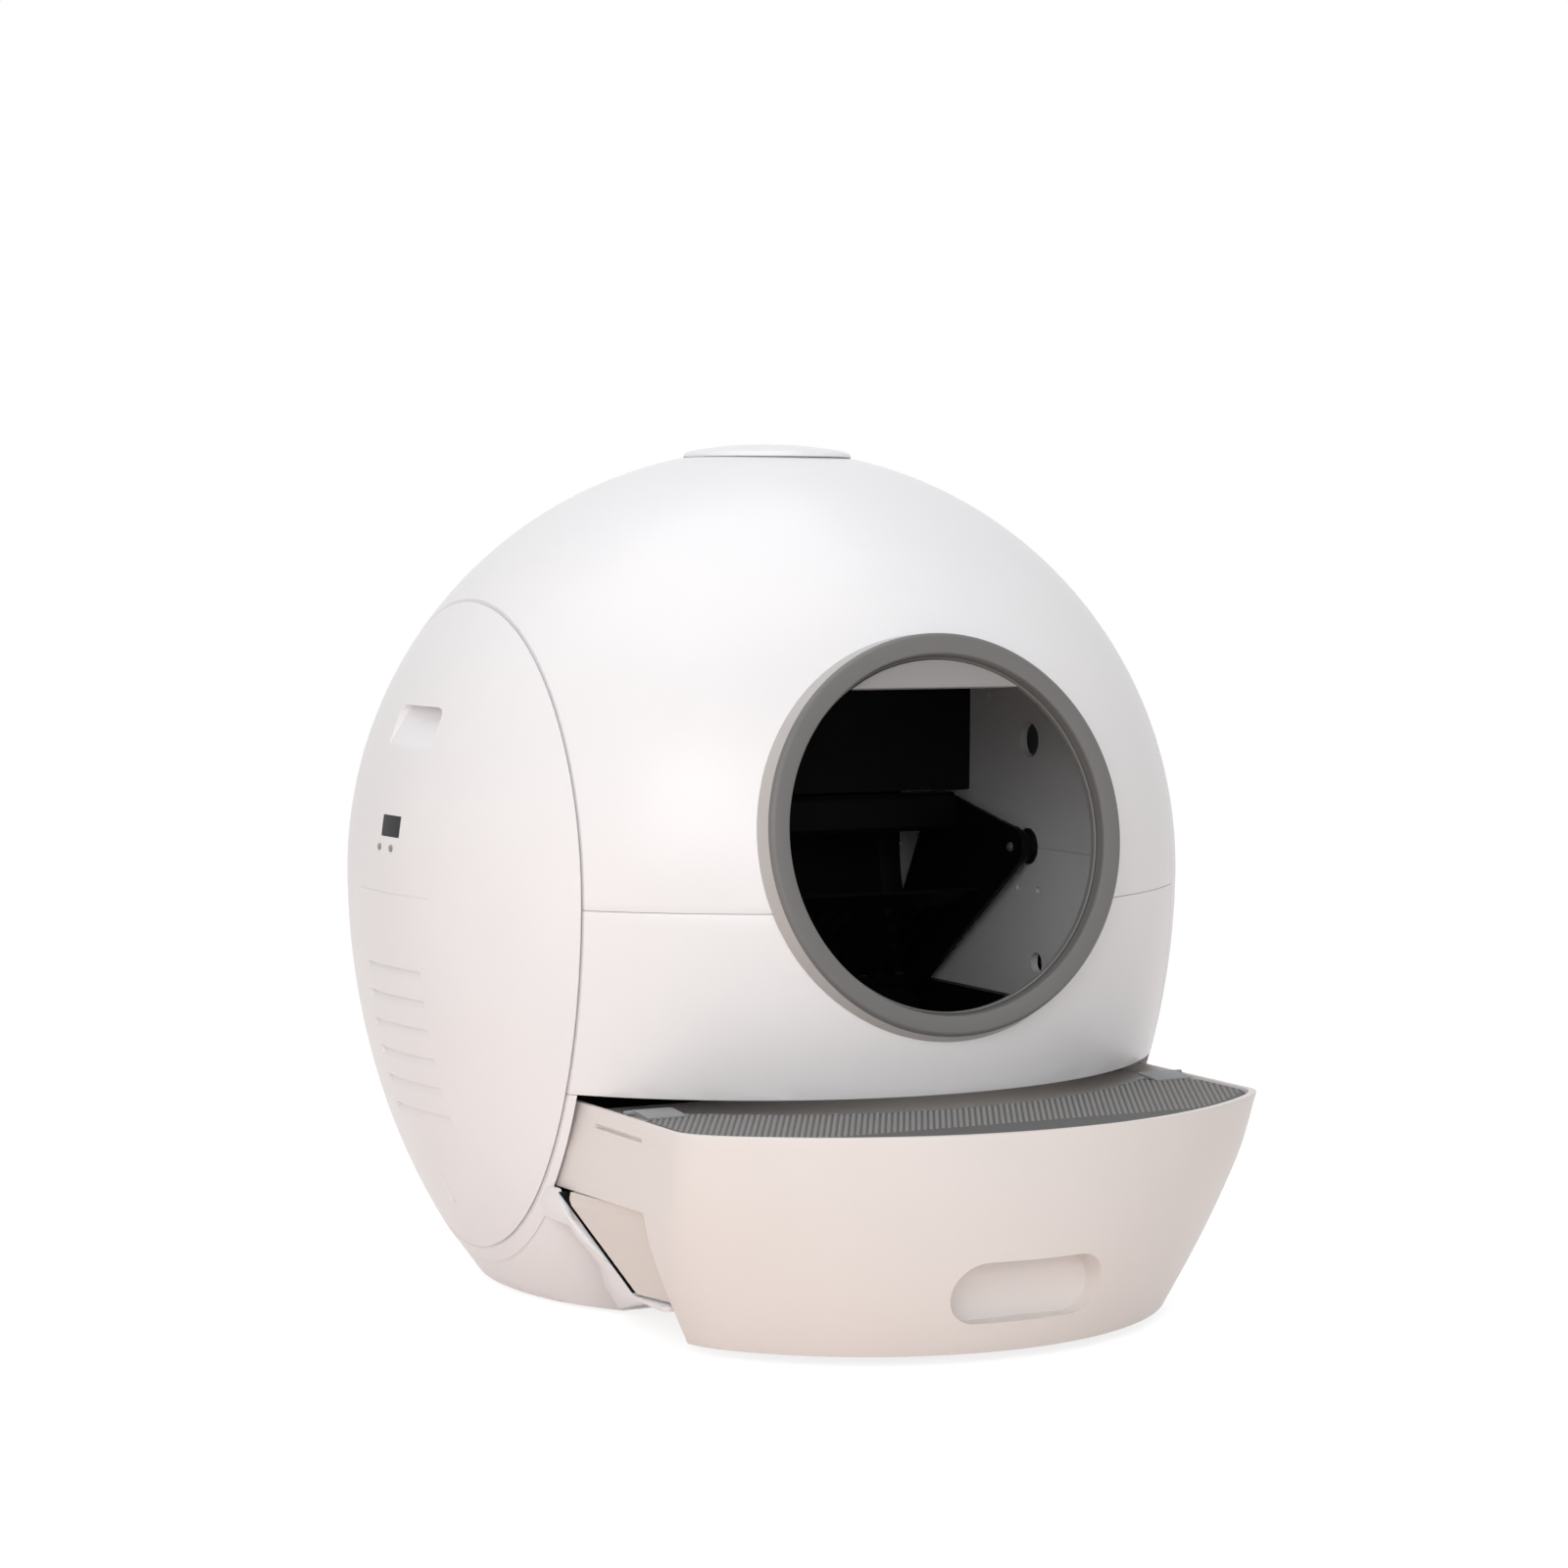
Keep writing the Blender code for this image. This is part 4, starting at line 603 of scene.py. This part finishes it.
for vert in collar_form.verts:
    if vert.co.y > skirt_end / 2:
        inner_skin = depth_to_ball(vert.co.x, vert.co.z, ball_radius - shell_thickness)
        vert.co.y = max(inner_skin + skirt_inside, skirt_least)
fitted(moulded("entrance_collar", leaned(collar_form)), "dome", ring_grey,
       ["entrance_ring"])
sleeve_grey = plastic("sleeve_moulding", (0.50, 0.485, 0.475), 0.40, grain=0.08, cloudiness=0.01)
sleeve_end, sleeve_least, sleeve_lift = 0.03, 0.006, 0.0004
sleeve_spread, spread_power = 0.016, 1.5
sleeve = turned([(ring_outer - 0.0008, 0.0042), (ring_outer + 0.0001, 0.0044),
                 (ring_outer + 0.0010, sleeve_end), (ring_outer - 0.0008, sleeve_end)], 160, "Y")
for vert in sleeve.verts:
    if vert.co.y > sleeve_end / 2:
        outer_skin = depth_to_ball(vert.co.x, vert.co.z, ball_radius + sleeve_lift)
        vert.co.y = max(outer_skin, sleeve_least)
        if math.hypot(vert.co.x, vert.co.z) > ring_outer:
            spread = 1 + sleeve_spread * max(-vert.co.z / ring_outer, 0) ** spread_power
            vert.co.x, vert.co.z = vert.co.x * spread, vert.co.z * spread
fitted(moulded("collar_sleeve", leaned(sleeve)), "dome", sleeve_grey)

# Visor and motion sensor
# A paler grey segment closes the top of the ring, with a stiffening rib behind its straight lower
# edge. The black case of the motion sensor sits behind it, with two round lenses.
visor_grey = plastic("visor_grey_moulding", (0.30, 0.296, 0.296), 0.45, grain=0.08,
                     cloudiness=0.01)
visor_reach = ring_inner - 0.0005
visor_low, visor_front, visor_back = 0.1004, 0.008, 0.011
visor_round = 0.0011
rib_half, rib_height, rib_front, rib_back = 0.0610, 0.003, 0.0095, 0.016
visor_half = math.acos(visor_low / visor_reach)
segment = curve_points(visor_reach, math.pi / 2 - visor_half, math.pi / 2 + visor_half, 40)
visor = moulded("visor_panel", extruded(segment, visor_front, visor_back, "Y"))
cut(visor, [block((-rib_half, rib_front, visor_low), (rib_half, rib_back, visor_low + rib_height))],
    "UNION")
eased(visor, visor_round, lambda p: p.y < visor_front + 0.0001 and p.z < visor_low + 0.0001, 3)
fitted(moulded("visor_moulding", leaned(taken(visor))), "dome", visor_grey,
       ["sensor_visor"])

sensor_low, sensor_high = (-0.015, 0.0113, 0.1038), (0.015, 0.0213, 0.1158)
lens_radius, lens_place, lens_height, lens_ends = 0.0032, 0.008, 0.1098, (0.0111, 0.0125)
sensor = moulded("sensor_case", block(sensor_low, sensor_high))
cut(sensor, [rod(lens_radius, *lens_ends, "Y", (side * lens_place, 0, lens_height), 24)
             for side in (-1, 1)])
eased(sensor, 0.0008, lambda p: p.y > sensor_high[1] - 0.0001)
fitted(moulded("sensor_moulding", leaned(taken(sensor))), "dome", inner_black,
       ["motion_sensor"])

# Drawer front
# The warm white front of the drawer is one bowed wall that tapers to the floor, with a recessed
# pull moulded in and a long shallow groove at the top of each side.
warm_white = plastic("warm_white_moulding", (0.80, 0.765, 0.745), 0.38, grain=0.03)
rim_height, drawer_low = -0.139, -0.293
drawer_back, drawer_wall = -0.110, 0.004
level_shares = (0.0, 0.27, 0.53, 0.76, 1.0)
half_widths = (0.2270, 0.2222, 0.2138, 0.2029, 0.1879)
rear_halves = (0.2270, 0.2305, 0.2305, 0.2110, 0.1900)
corner_depths = (0.3200, 0.3067, 0.2890, 0.2732, 0.2600)
front_depths = (0.4050, 0.4010, 0.3920, 0.3800, 0.3630)
widest, corner_run, corner_points, bow_steps = 0.2305, 0.014, 3, 56
sweep_radius = 0.2125
side_end, side_foot, drawer_under = -0.250, -0.2017, -0.31
rim_round = 0.0009
pull_radius, pull_half, pull_height = 0.022, 0.036, -0.249
pull_floor, pull_back, pull_wall = -0.3575, -0.349, 0.003
groove_inside, groove_outside = 0.2238, 0.24
groove_ends, groove_heights = (-0.258, -0.187), (-0.1532, -0.1502)


def between(values, share):
    """Smooth value at a height share, through the five measured levels."""
    count = len(values) - 1
    for i in range(count):
        low, high = level_shares[i], level_shares[i + 1]
        if share <= high or i == count - 1:
            t = (share - low) / (high - low)
            before = values[max(i - 1, 0)]
            after = values[min(i + 2, count)]
            start = (values[i + 1] - before) / 2 if i else values[1] - values[0]
            end = (after - values[i]) / 2 if i < count - 1 else values[-1] - values[-2]
            return ((2 * t ** 3 - 3 * t ** 2 + 1) * values[i] + (t ** 3 - 2 * t ** 2 + t) * start
                    + (-2 * t ** 3 + 3 * t ** 2) * values[i + 1] + (t ** 3 - t ** 2) * end)


def drawer_outline(share, inset, back, limit=1.0, widen=1, kink=None):
    """Plan of the drawer at a height share: sides that may widen to the rear, soft corners and a
    bowed front."""
    half = between(half_widths, share) - inset
    corner = between(corner_depths, share) - inset
    front = between(front_depths, share) - inset
    grown = between(rear_halves, share) - inset - half
    rear = half + widen * grown / (corner + drawer_back) * (corner + back)
    rear = min(rear, widest - inset) if widen else half
    sagitta = front - corner
    radius = (half * half + sagitta * sagitta) / (2 * sagitta)
    spread = math.asin(half / radius)
    bow = curve_points(radius, -math.pi / 2 - spread, -math.pi / 2 + spread, bow_steps,
                       (0, radius - front))
    start = Vector((-half - (rear - half) * corner_run / (corner + back), -corner + corner_run))
    left = []
    for i in range(7):
        t = i / 6
        point = (start * (1 - t) ** 2 + Vector((-half, -corner)) * 2 * t * (1 - t)
                 + Vector(bow[corner_points]) * t * t)
        left.append((point.x, point.y))
    bend = [(-half, kink)] if kink else []
    side = [(-rear, back)] + bend + left
    front_line = [(x, max(y, -limit)) for x, y in bow[corner_points + 1:-corner_points - 1]]
    return side + front_line + [(-x, y) for x, y in reversed(side)]


def drawer_form(inset, back, top=rim_height, low=drawer_low, rows=20):
    """The drawer's tapering form between two heights."""
    sections = []
    for i in range(rows + 1):
        height = top + (low - top) * i / rows
        share = min(max((rim_height - height) / (rim_height - drawer_low), 0), 1)
        sections.append([(x, y, height) for x, y in drawer_outline(share, inset, back)])
    return rows_joined(sections)


def pull_outline(grow):
    """The pull seen from the front: a long slot with round ends."""
    radius = pull_radius + grow
    right = curve_points(radius, -math.pi / 2, math.pi / 2, 20, (pull_half, pull_height))
    left = curve_points(radius, math.pi / 2, math.pi * 3 / 2, 20, (-pull_half, pull_height))
    return right + left


drawer = moulded("drawer_moulding", drawer_form(0, drawer_back))
cut(drawer, [drawer_form(drawer_wall, -0.100, rim_height + 0.01, drawer_low - 0.01, 24)])
cut(drawer, [block((-groove_outside, side_end, drawer_under), (groove_outside, 0, side_foot))])
cut(drawer, [rod(sweep_radius, -side_plane, side_plane, "X", (0, 0, axle_height), 96)])
cup = moulded("pull_cup", extruded(pull_outline(pull_wall), front_past, pull_back, "Y"))
cut(cup, [drawer_form(0.002, drawer_back)], "INTERSECT")
cut(drawer, [taken(cup)], "UNION")
cut(drawer, [extruded(pull_outline(0), front_past, pull_floor, "Y")])
for side in (-1, 1):
    ends = sorted((side * groove_inside, side * groove_outside))
    cut(drawer, [block((ends[0], groove_ends[0], groove_heights[0]),
                       (ends[1], groove_ends[1], groove_heights[1]))])
eased(drawer, rim_round, at_level(rim_height))
fitted(drawer, "drawer", warm_white, ["drawer_front"])

# Waste bin
# The bin is a separate thin moulding inside the drawer, a little warmer than the front and darker
# than it; the darkening is painted shade of its recess behind the band. Below the band its sides
# widen to the cheeks of the base, and its rear slants with the base's wall.
# Warmer than the drawer front, and darkened with painted shade of the recess.
bin_tone_with_painted_shade = plastic("bin_moulding", (0.74, 0.69, 0.655), 0.42, grain=0.04)
bin_inset, bin_start, bin_front, bin_kink = 0.0048, -0.1375, 0.3482, -0.252
bin_top, bin_floor = -0.1465, -0.266
bin_wall, bin_inner_top, bin_inner_floor = 0.0025, -0.141, -0.2635
band_heights, below_band = (-0.139, -0.16, -0.18, -0.2021), (-0.2026, 0.0674, 14)
rear_gap, front_clear = 0.0052, -0.42
flare_below, gap_line_clear, bin_widest = -0.2023, 0.0009, 0.2302


def bin_form(extra, top, floor, flared):
    """The bin between two heights; below the band its sides may widen to the base's cheeks."""
    sections = []
    first, drop, steps = below_band
    for height in list(band_heights) + [first - drop * i / steps for i in range(steps + 1)]:
        share = (rim_height - height) / (rim_height - drawer_low)
        points = drawer_outline(share, bin_inset + extra, bin_start, bin_front - extra, 0, bin_kink)
        half = points[0][0]
        rear = -slant_top[0] - slope * (-slant_top[1] - height) - rear_gap
        wide = -half
        if flared and height < flare_below:
            wide = min(gap_line_reach(height) - gap_line_clear, bin_widest)
        back = -half + (wide + half) * (-bin_kink + bin_start) / (-bin_kink + rear)
        sections.append([(-back, bin_start, height)] + [(x, y, height) for x, y in points[1:-1]]
                        + [(back, bin_start, height)])
    loft = rows_joined(sections)
    bmesh.ops.triangulate(loft, faces=loft.faces)
    body = moulded("bin_form", loft)
    back = -slant_top[0] - rear_gap - extra
    side = [(back, top), (back, -slant_top[1]), (-slant_foot[0] - rear_gap - extra, floor),
            (front_clear, floor), (front_clear, top)]
    cut(body, [extruded(side, -reach_past, reach_past, "X")], "INTERSECT")
    return taken(body)


waste_bin = moulded("waste_bin_moulding", bin_form(0, bin_top, bin_floor, True))
cut(waste_bin, [bin_form(bin_wall, bin_inner_top, bin_inner_floor, False)])
fitted(waste_bin, "drawer", bin_tone_with_painted_shade, ["waste_bin"])

# Step mat and clips
# A soft grey rubber mat with close rows of small pips lies on the drawer's rim. It lifts on two
# grey plastic clips, whose pins snap into the drawer's sides.
mat_top, mat_thickness, mat_bevel = -0.1405, 0.003, 0.0008
pip_pitch, pip_radius, pip_height, pip_taper = 0.0046, 0.0015, 0.0008, 0.55
pip_start, pip_run, pip_columns, row_share, pip_sink = -0.20, 0.19, 50, 0.866, 0.0001
mat_grey = plastic("mat_rubber", (0.115, 0.113, 0.112), 0.75, grain=0.25, cloudiness=0.012)
pip_grey = plastic("pip_rubber", (0.255, 0.25, 0.245), 0.6, grain=0.2, cloudiness=0.012)


def mat_outline(inset):
    """Plan of the mat: it follows the drawer's rim in front and the ball behind."""
    edge = drawer_outline(0.02, 0.0055 + inset, 0, widen=0)[1:-1]
    across, along, nearest = 0.300, 0.290, 0.2275
    reach = math.acos((0.189 - inset) / across)
    corner = (0.2215 - inset, -0.250)
    rear = [corner]
    for i in range(41):
        angle = reach + (math.pi - 2 * reach) * i / 40
        rear.append((across * math.cos(angle), -max(along * math.sin(angle), nearest) - inset))
    return edge + rear + [(-corner[0], corner[1])]


def inside_outline(point, outline):
    """Even-odd test of a point against a closed outline."""
    inside = False
    for (ax, ay), (bx, by) in zip(outline, outline[1:] + outline[:1]):
        if (ay > point[1]) != (by > point[1]):
            if point[0] < ax + (bx - ax) * (point[1] - ay) / (by - ay):
                inside = not inside
    return inside


outline = mat_outline(0)
sheet = [[(x, y, mat_top - mat_thickness) for x, y in outline],
         [(x, y, mat_top - mat_bevel) for x, y in outline],
         [(x, y, mat_top) for x, y in mat_outline(mat_bevel)]]
fitted(moulded("mat_sheet", rows_joined(sheet)), "mat", mat_grey, ["step_mat"])
pips = bmesh.new()
pip_field = mat_outline(0.003)
six_ways = [math.pi / 3 * k for k in range(6)]
for row in range(int(pip_run / pip_pitch)):
    for column in range(-pip_columns, pip_columns + 1):
        x = (column + 0.5 * (row % 2)) * pip_pitch
        y = pip_start - row * pip_pitch * row_share
        if not inside_outline((x, y), pip_field):
            continue
        rims = []
        for radius, height in ((pip_radius, mat_top - pip_sink),
                               (pip_radius * pip_taper, mat_top + pip_height)):
            corners = [(x + radius * math.cos(a), y + radius * math.sin(a), height)
                       for a in six_ways]
            rims.append([pips.verts.new(corner) for corner in corners])
        foot, crown = rims
        for k in range(6):
            pips.faces.new((foot[k], foot[(k + 1) % 6], crown[(k + 1) % 6], crown[k]))
        pips.faces.new(crown)
        pips.faces.new(list(reversed(foot)))
fitted(moulded("mat_pips", pips), "mat", pip_grey)

clip_grey = plastic("clip_moulding", (0.27, 0.285, 0.29), 0.45, grain=0.06)
clip_inside, clip_outside, clip_round = 0.187, 0.2165, 0.0007
clip_front, clip_back, clip_top = -0.2465, -0.2227, -0.1368
pin_inside, pin_outside, pin_radius, pin_place = 0.2105, 0.2227, 0.0018, (0, -0.2245, -0.1385)
clip_side = [(clip_front, clip_top - 0.0035), (clip_front, clip_top - 0.0024),
             (clip_front + 0.0008, clip_top - 0.0018), (clip_back - 0.004, clip_top),
             (clip_back, clip_top), (clip_back, clip_top - 0.0022),
             (clip_front + 0.004, clip_top - 0.0036)]
for side, name in ((-1, "left"), (1, "right")):
    ends = sorted((side * clip_inside, side * clip_outside))
    clip = moulded("clip_" + name, extruded(clip_side, ends[0], ends[1], "X"))
    ends = sorted((side * pin_inside, side * pin_outside))
    cut(clip, [rod(pin_radius, ends[0], ends[1], "X", pin_place, 24)], "UNION")
    eased(clip, clip_round, lambda p: abs(abs(p.x) - clip_inside) < same_level)
    fitted(clip, "mat", clip_grey, ["mat_clip_" + name])

# Top cap, basket and filter
# A round white cap closes the top of the dome, a little prouder than the ball and rounded at its
# edge. Under it hangs a white basket with a pad of carbon foam; both keep the shape of the solids.
cap_reach, cap_steps, cap_wall = 0.062, 8, 0.0015
crown_radius = ball_radius + 0.0038
seat = ball_radius + hair_gap
plug_reach, inner_reach = 0.0603, 0.04


def finished(finish, *names):
    """Gives solids that already have their real shape their finish."""
    for name in names:
        with_finish(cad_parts[name].data, finish, math.radians(30))


def ball_height(radius, reach):
    """Height of a ball's skin at a distance from its upright axis."""
    return math.sqrt(radius ** 2 - reach ** 2)


cap = [(0, crown_radius)]
for i in range(1, cap_steps + 1):
    reach = (cap_reach - 0.0044) * i / cap_steps
    cap.append((reach, ball_height(crown_radius, reach)))
edge_top = ball_height(crown_radius, cap_reach)
cap += [(cap_reach - 0.0030, edge_top + 0.0001), (cap_reach - 0.0016, edge_top - 0.0006),
        (cap_reach - 0.0006, edge_top - 0.0016), (cap_reach, edge_top - 0.0028),
        (cap_reach, ball_height(seat, cap_reach)), (plug_reach, ball_height(seat, plug_reach)),
        (plug_reach, ball_height(seat + cap_wall, plug_reach)),
        (inner_reach, ball_height(seat + cap_wall, inner_reach)), (0, seat + cap_wall)]
fitted(moulded("cap_moulding", turned(cap, 96, "Z", closed=False)), "cap", white,
       ["top_cap"])
finished(white, "filter_basket")
finished(plastic("carbon_foam", (0.035, 0.035, 0.038), 0.9, ripple=0.6, grain=0.9),
         "odour_filter")

# Tray, back panel and rake
# Black polypropylene: a round-bottomed tray, the panel behind it, and the rake of two arms, a
# beam and a comb that sifts it. Its axle stubs turn in bushes; all keep the shape of the solids.
steel = bpy.data.materials.new("brushed_steel")
steel.use_nodes = True
nodes, links = steel.node_tree.nodes, steel.node_tree.links
shader = nodes["Principled BSDF"]
shader.inputs["Metallic"].default_value = 1
stretch = nodes.new("ShaderNodeMapping")
stretch.inputs["Scale"].default_value = (1, 60, 60)
links.new(nodes.new("ShaderNodeTexCoord").outputs["Object"], stretch.inputs["Vector"])
brushing = noise(nodes, links, stretch.outputs["Vector"], scale=30)
links.new(spanned(nodes, links, brushing, 0.25, 0.42), shader.inputs["Roughness"])
links.new(ramp(nodes, links, brushing, (0.50, 0.50, 0.51), (0.62, 0.62, 0.63)),
          shader.inputs["Base Color"])
finished(inner_black, "litter_tray", "back_panel", "rake_arm_left", "rake_arm_right", "rake_beam",
         "rake_comb")
finished(ring_grey, "pivot_screw_left", "pivot_screw_right")
finished(steel, "axle_stub_left", "axle_stub_right", "axle_bush_left", "axle_bush_right")

# Drive and electrics
# A gear motor on a steel bracket turns the rake through a white acetal pinion and gear. With it
# go a position switch, the green board, the power inlet and two grey buttons, all as in the solids.
finished(plastic("gear_white", (0.72, 0.71, 0.66), 0.4), "drive_gear", "motor_pinion")
finished(steel, "gear_motor", "motor_shaft", "motor_bracket")
finished(plastic("board_green", (0.02, 0.12, 0.05), 0.4, grain=0.1), "control_board")
finished(inner_black, "position_switch", "power_inlet")
finished(clip_grey, "button_1", "button_2")

# Feet and drawer glides
# Four black rubber feet are pressed into the base, and two grey strips under the bin let the
# drawer slide. They keep the shape of the solids.
finished(plastic("foot_rubber", (0.03, 0.03, 0.03), 0.8, grain=0.3), "foot_front_left",
         "foot_front_right", "foot_rear_left", "foot_rear_right")
finished(clip_grey, "drawer_glide_left", "drawer_glide_right")

# Floor and backdrop
# A plain pale floor and a white surround. Seen directly or in a gloss they are near white; what
# they throw back on the underside is a little warmer and weaker.
floor_half, floor_depth = 6, 0.02
floor_seen, floor_bounced = (0.9, 0.9, 0.9, 1), (0.93, 0.80, 0.735, 1)
glow_strength, glow_share = 1.75, 0.45
sky_colour, sky_strength = (0.97, 0.98, 1.0, 1), 0.40


def direct_view(nodes, links):
    """1 for rays from the camera and for mirrored and refracted ones, 0 for the rest."""
    path = nodes.new("ShaderNodeLightPath")
    total = path.outputs["Is Camera Ray"]
    for kind in ("Is Glossy Ray", "Is Transmission Ray"):
        plus = nodes.new("ShaderNodeMath")
        plus.use_clamp = True
        links.new(total, plus.inputs[0])
        links.new(path.outputs[kind], plus.inputs[1])
        total = plus.outputs["Value"]
    return total


floor = moulded("floor", block((-floor_half, -floor_half, -floor_depth),
                               (floor_half, floor_half, 0)))
floor_finish = bpy.data.materials.new("pale_floor")
floor_finish.use_nodes = True
nodes, links = floor_finish.node_tree.nodes, floor_finish.node_tree.links
shader = nodes["Principled BSDF"]
shader.inputs["Roughness"].default_value = 0.9
glow = nodes.new("ShaderNodeEmission")
glow.inputs["Color"].default_value = (1, 1, 1, 1)
glow.inputs["Strength"].default_value = glow_strength
blend = nodes.new("ShaderNodeMixShader")
part_seen = nodes.new("ShaderNodeMath")
part_seen.operation = "MULTIPLY"
part_seen.inputs[1].default_value = glow_share
seen = direct_view(nodes, links)
bounce = nodes.new("ShaderNodeMix")
bounce.data_type = "RGBA"
bounce.inputs["A"].default_value = floor_bounced
bounce.inputs["B"].default_value = floor_seen
links.new(seen, bounce.inputs["Factor"])
links.new(bounce.outputs["Result"], shader.inputs["Base Color"])
links.new(seen, part_seen.inputs[0])
links.new(part_seen.outputs["Value"], blend.inputs["Fac"])
links.new(shader.outputs["BSDF"], blend.inputs[1])
links.new(glow.outputs["Emission"], blend.inputs[2])
links.new(blend.outputs["Shader"], nodes["Material Output"].inputs["Surface"])
floor.data.materials.append(floor_finish)

world = bpy.data.worlds.new("studio")
bpy.context.scene.world = world
world.use_nodes = True
nodes, links = world.node_tree.nodes, world.node_tree.links
sky = nodes["Background"]
sky.inputs["Color"].default_value = sky_colour
sky.inputs["Strength"].default_value = sky_strength
backdrop = nodes.new("ShaderNodeBackground")
backdrop.inputs["Color"].default_value = (1, 1, 1, 1)
backdrop.inputs["Strength"].default_value = 1
pick = nodes.new("ShaderNodeMixShader")
links.new(direct_view(nodes, links), pick.inputs["Fac"])
links.new(sky.outputs["Background"], pick.inputs[1])
links.new(backdrop.outputs["Background"], pick.inputs[2])
links.new(pick.outputs["Shader"], nodes["World Output"].inputs["Surface"])

# Lamps and camera
# Soft boxes to the left, in front and above, and a weak warm one low at the left. The camera
# stands where the photograph was taken.
lit_middle = Vector((0, 0, 0.3))
camera_offset = Vector((-1.266, -2.4165, 0.2440))
camera_roll = math.radians(0.28)


def soft_box(name, place, size, watts, colour=(1, 1, 1)):
    """A flat lamp that faces the middle of the object."""
    lamp = bpy.data.lights.new(name, "AREA")
    lamp.shape = "RECTANGLE"
    lamp.size, lamp.size_y = size
    lamp.energy = watts
    lamp.color = colour
    item = bpy.data.objects.new(name, lamp)
    item.location = place
    item.rotation_euler = (lit_middle - Vector(place)).to_track_quat("-Z", "Y").to_euler()
    bpy.context.scene.collection.objects.link(item)


soft_box("key", place=(-2.3, -2.6, 1.6), size=(1.7, 1.7), watts=34)
soft_box("front", place=(-0.9, -3.4, 1.0), size=(1.6, 1.2), watts=17)
soft_box("top", place=(-0.3, 0.0, 3.0), size=(2.6, 2.6), watts=30)
soft_box("low_left", place=(-2.2, -0.8, 0.25), size=(1.0, 0.4), watts=2.6,
         colour=(1.0, 0.66, 0.50))

lens_data = bpy.data.cameras.new("camera")
lens_data.lens = 84.23
lens_data.sensor_width = 36
lens_data.shift_x, lens_data.shift_y = 0.0120, 0.0532
camera = bpy.data.objects.new("camera", lens_data)
camera.location = ball_middle + camera_offset
aim = (ball_middle - camera.location).to_track_quat("-Z", "Y").to_euler()
aim.rotate_axis("Z", camera_roll)
camera.rotation_euler = aim
bpy.context.scene.collection.objects.link(camera)
bpy.context.scene.camera = camera
bpy.context.scene.view_settings.view_transform = "Standard"
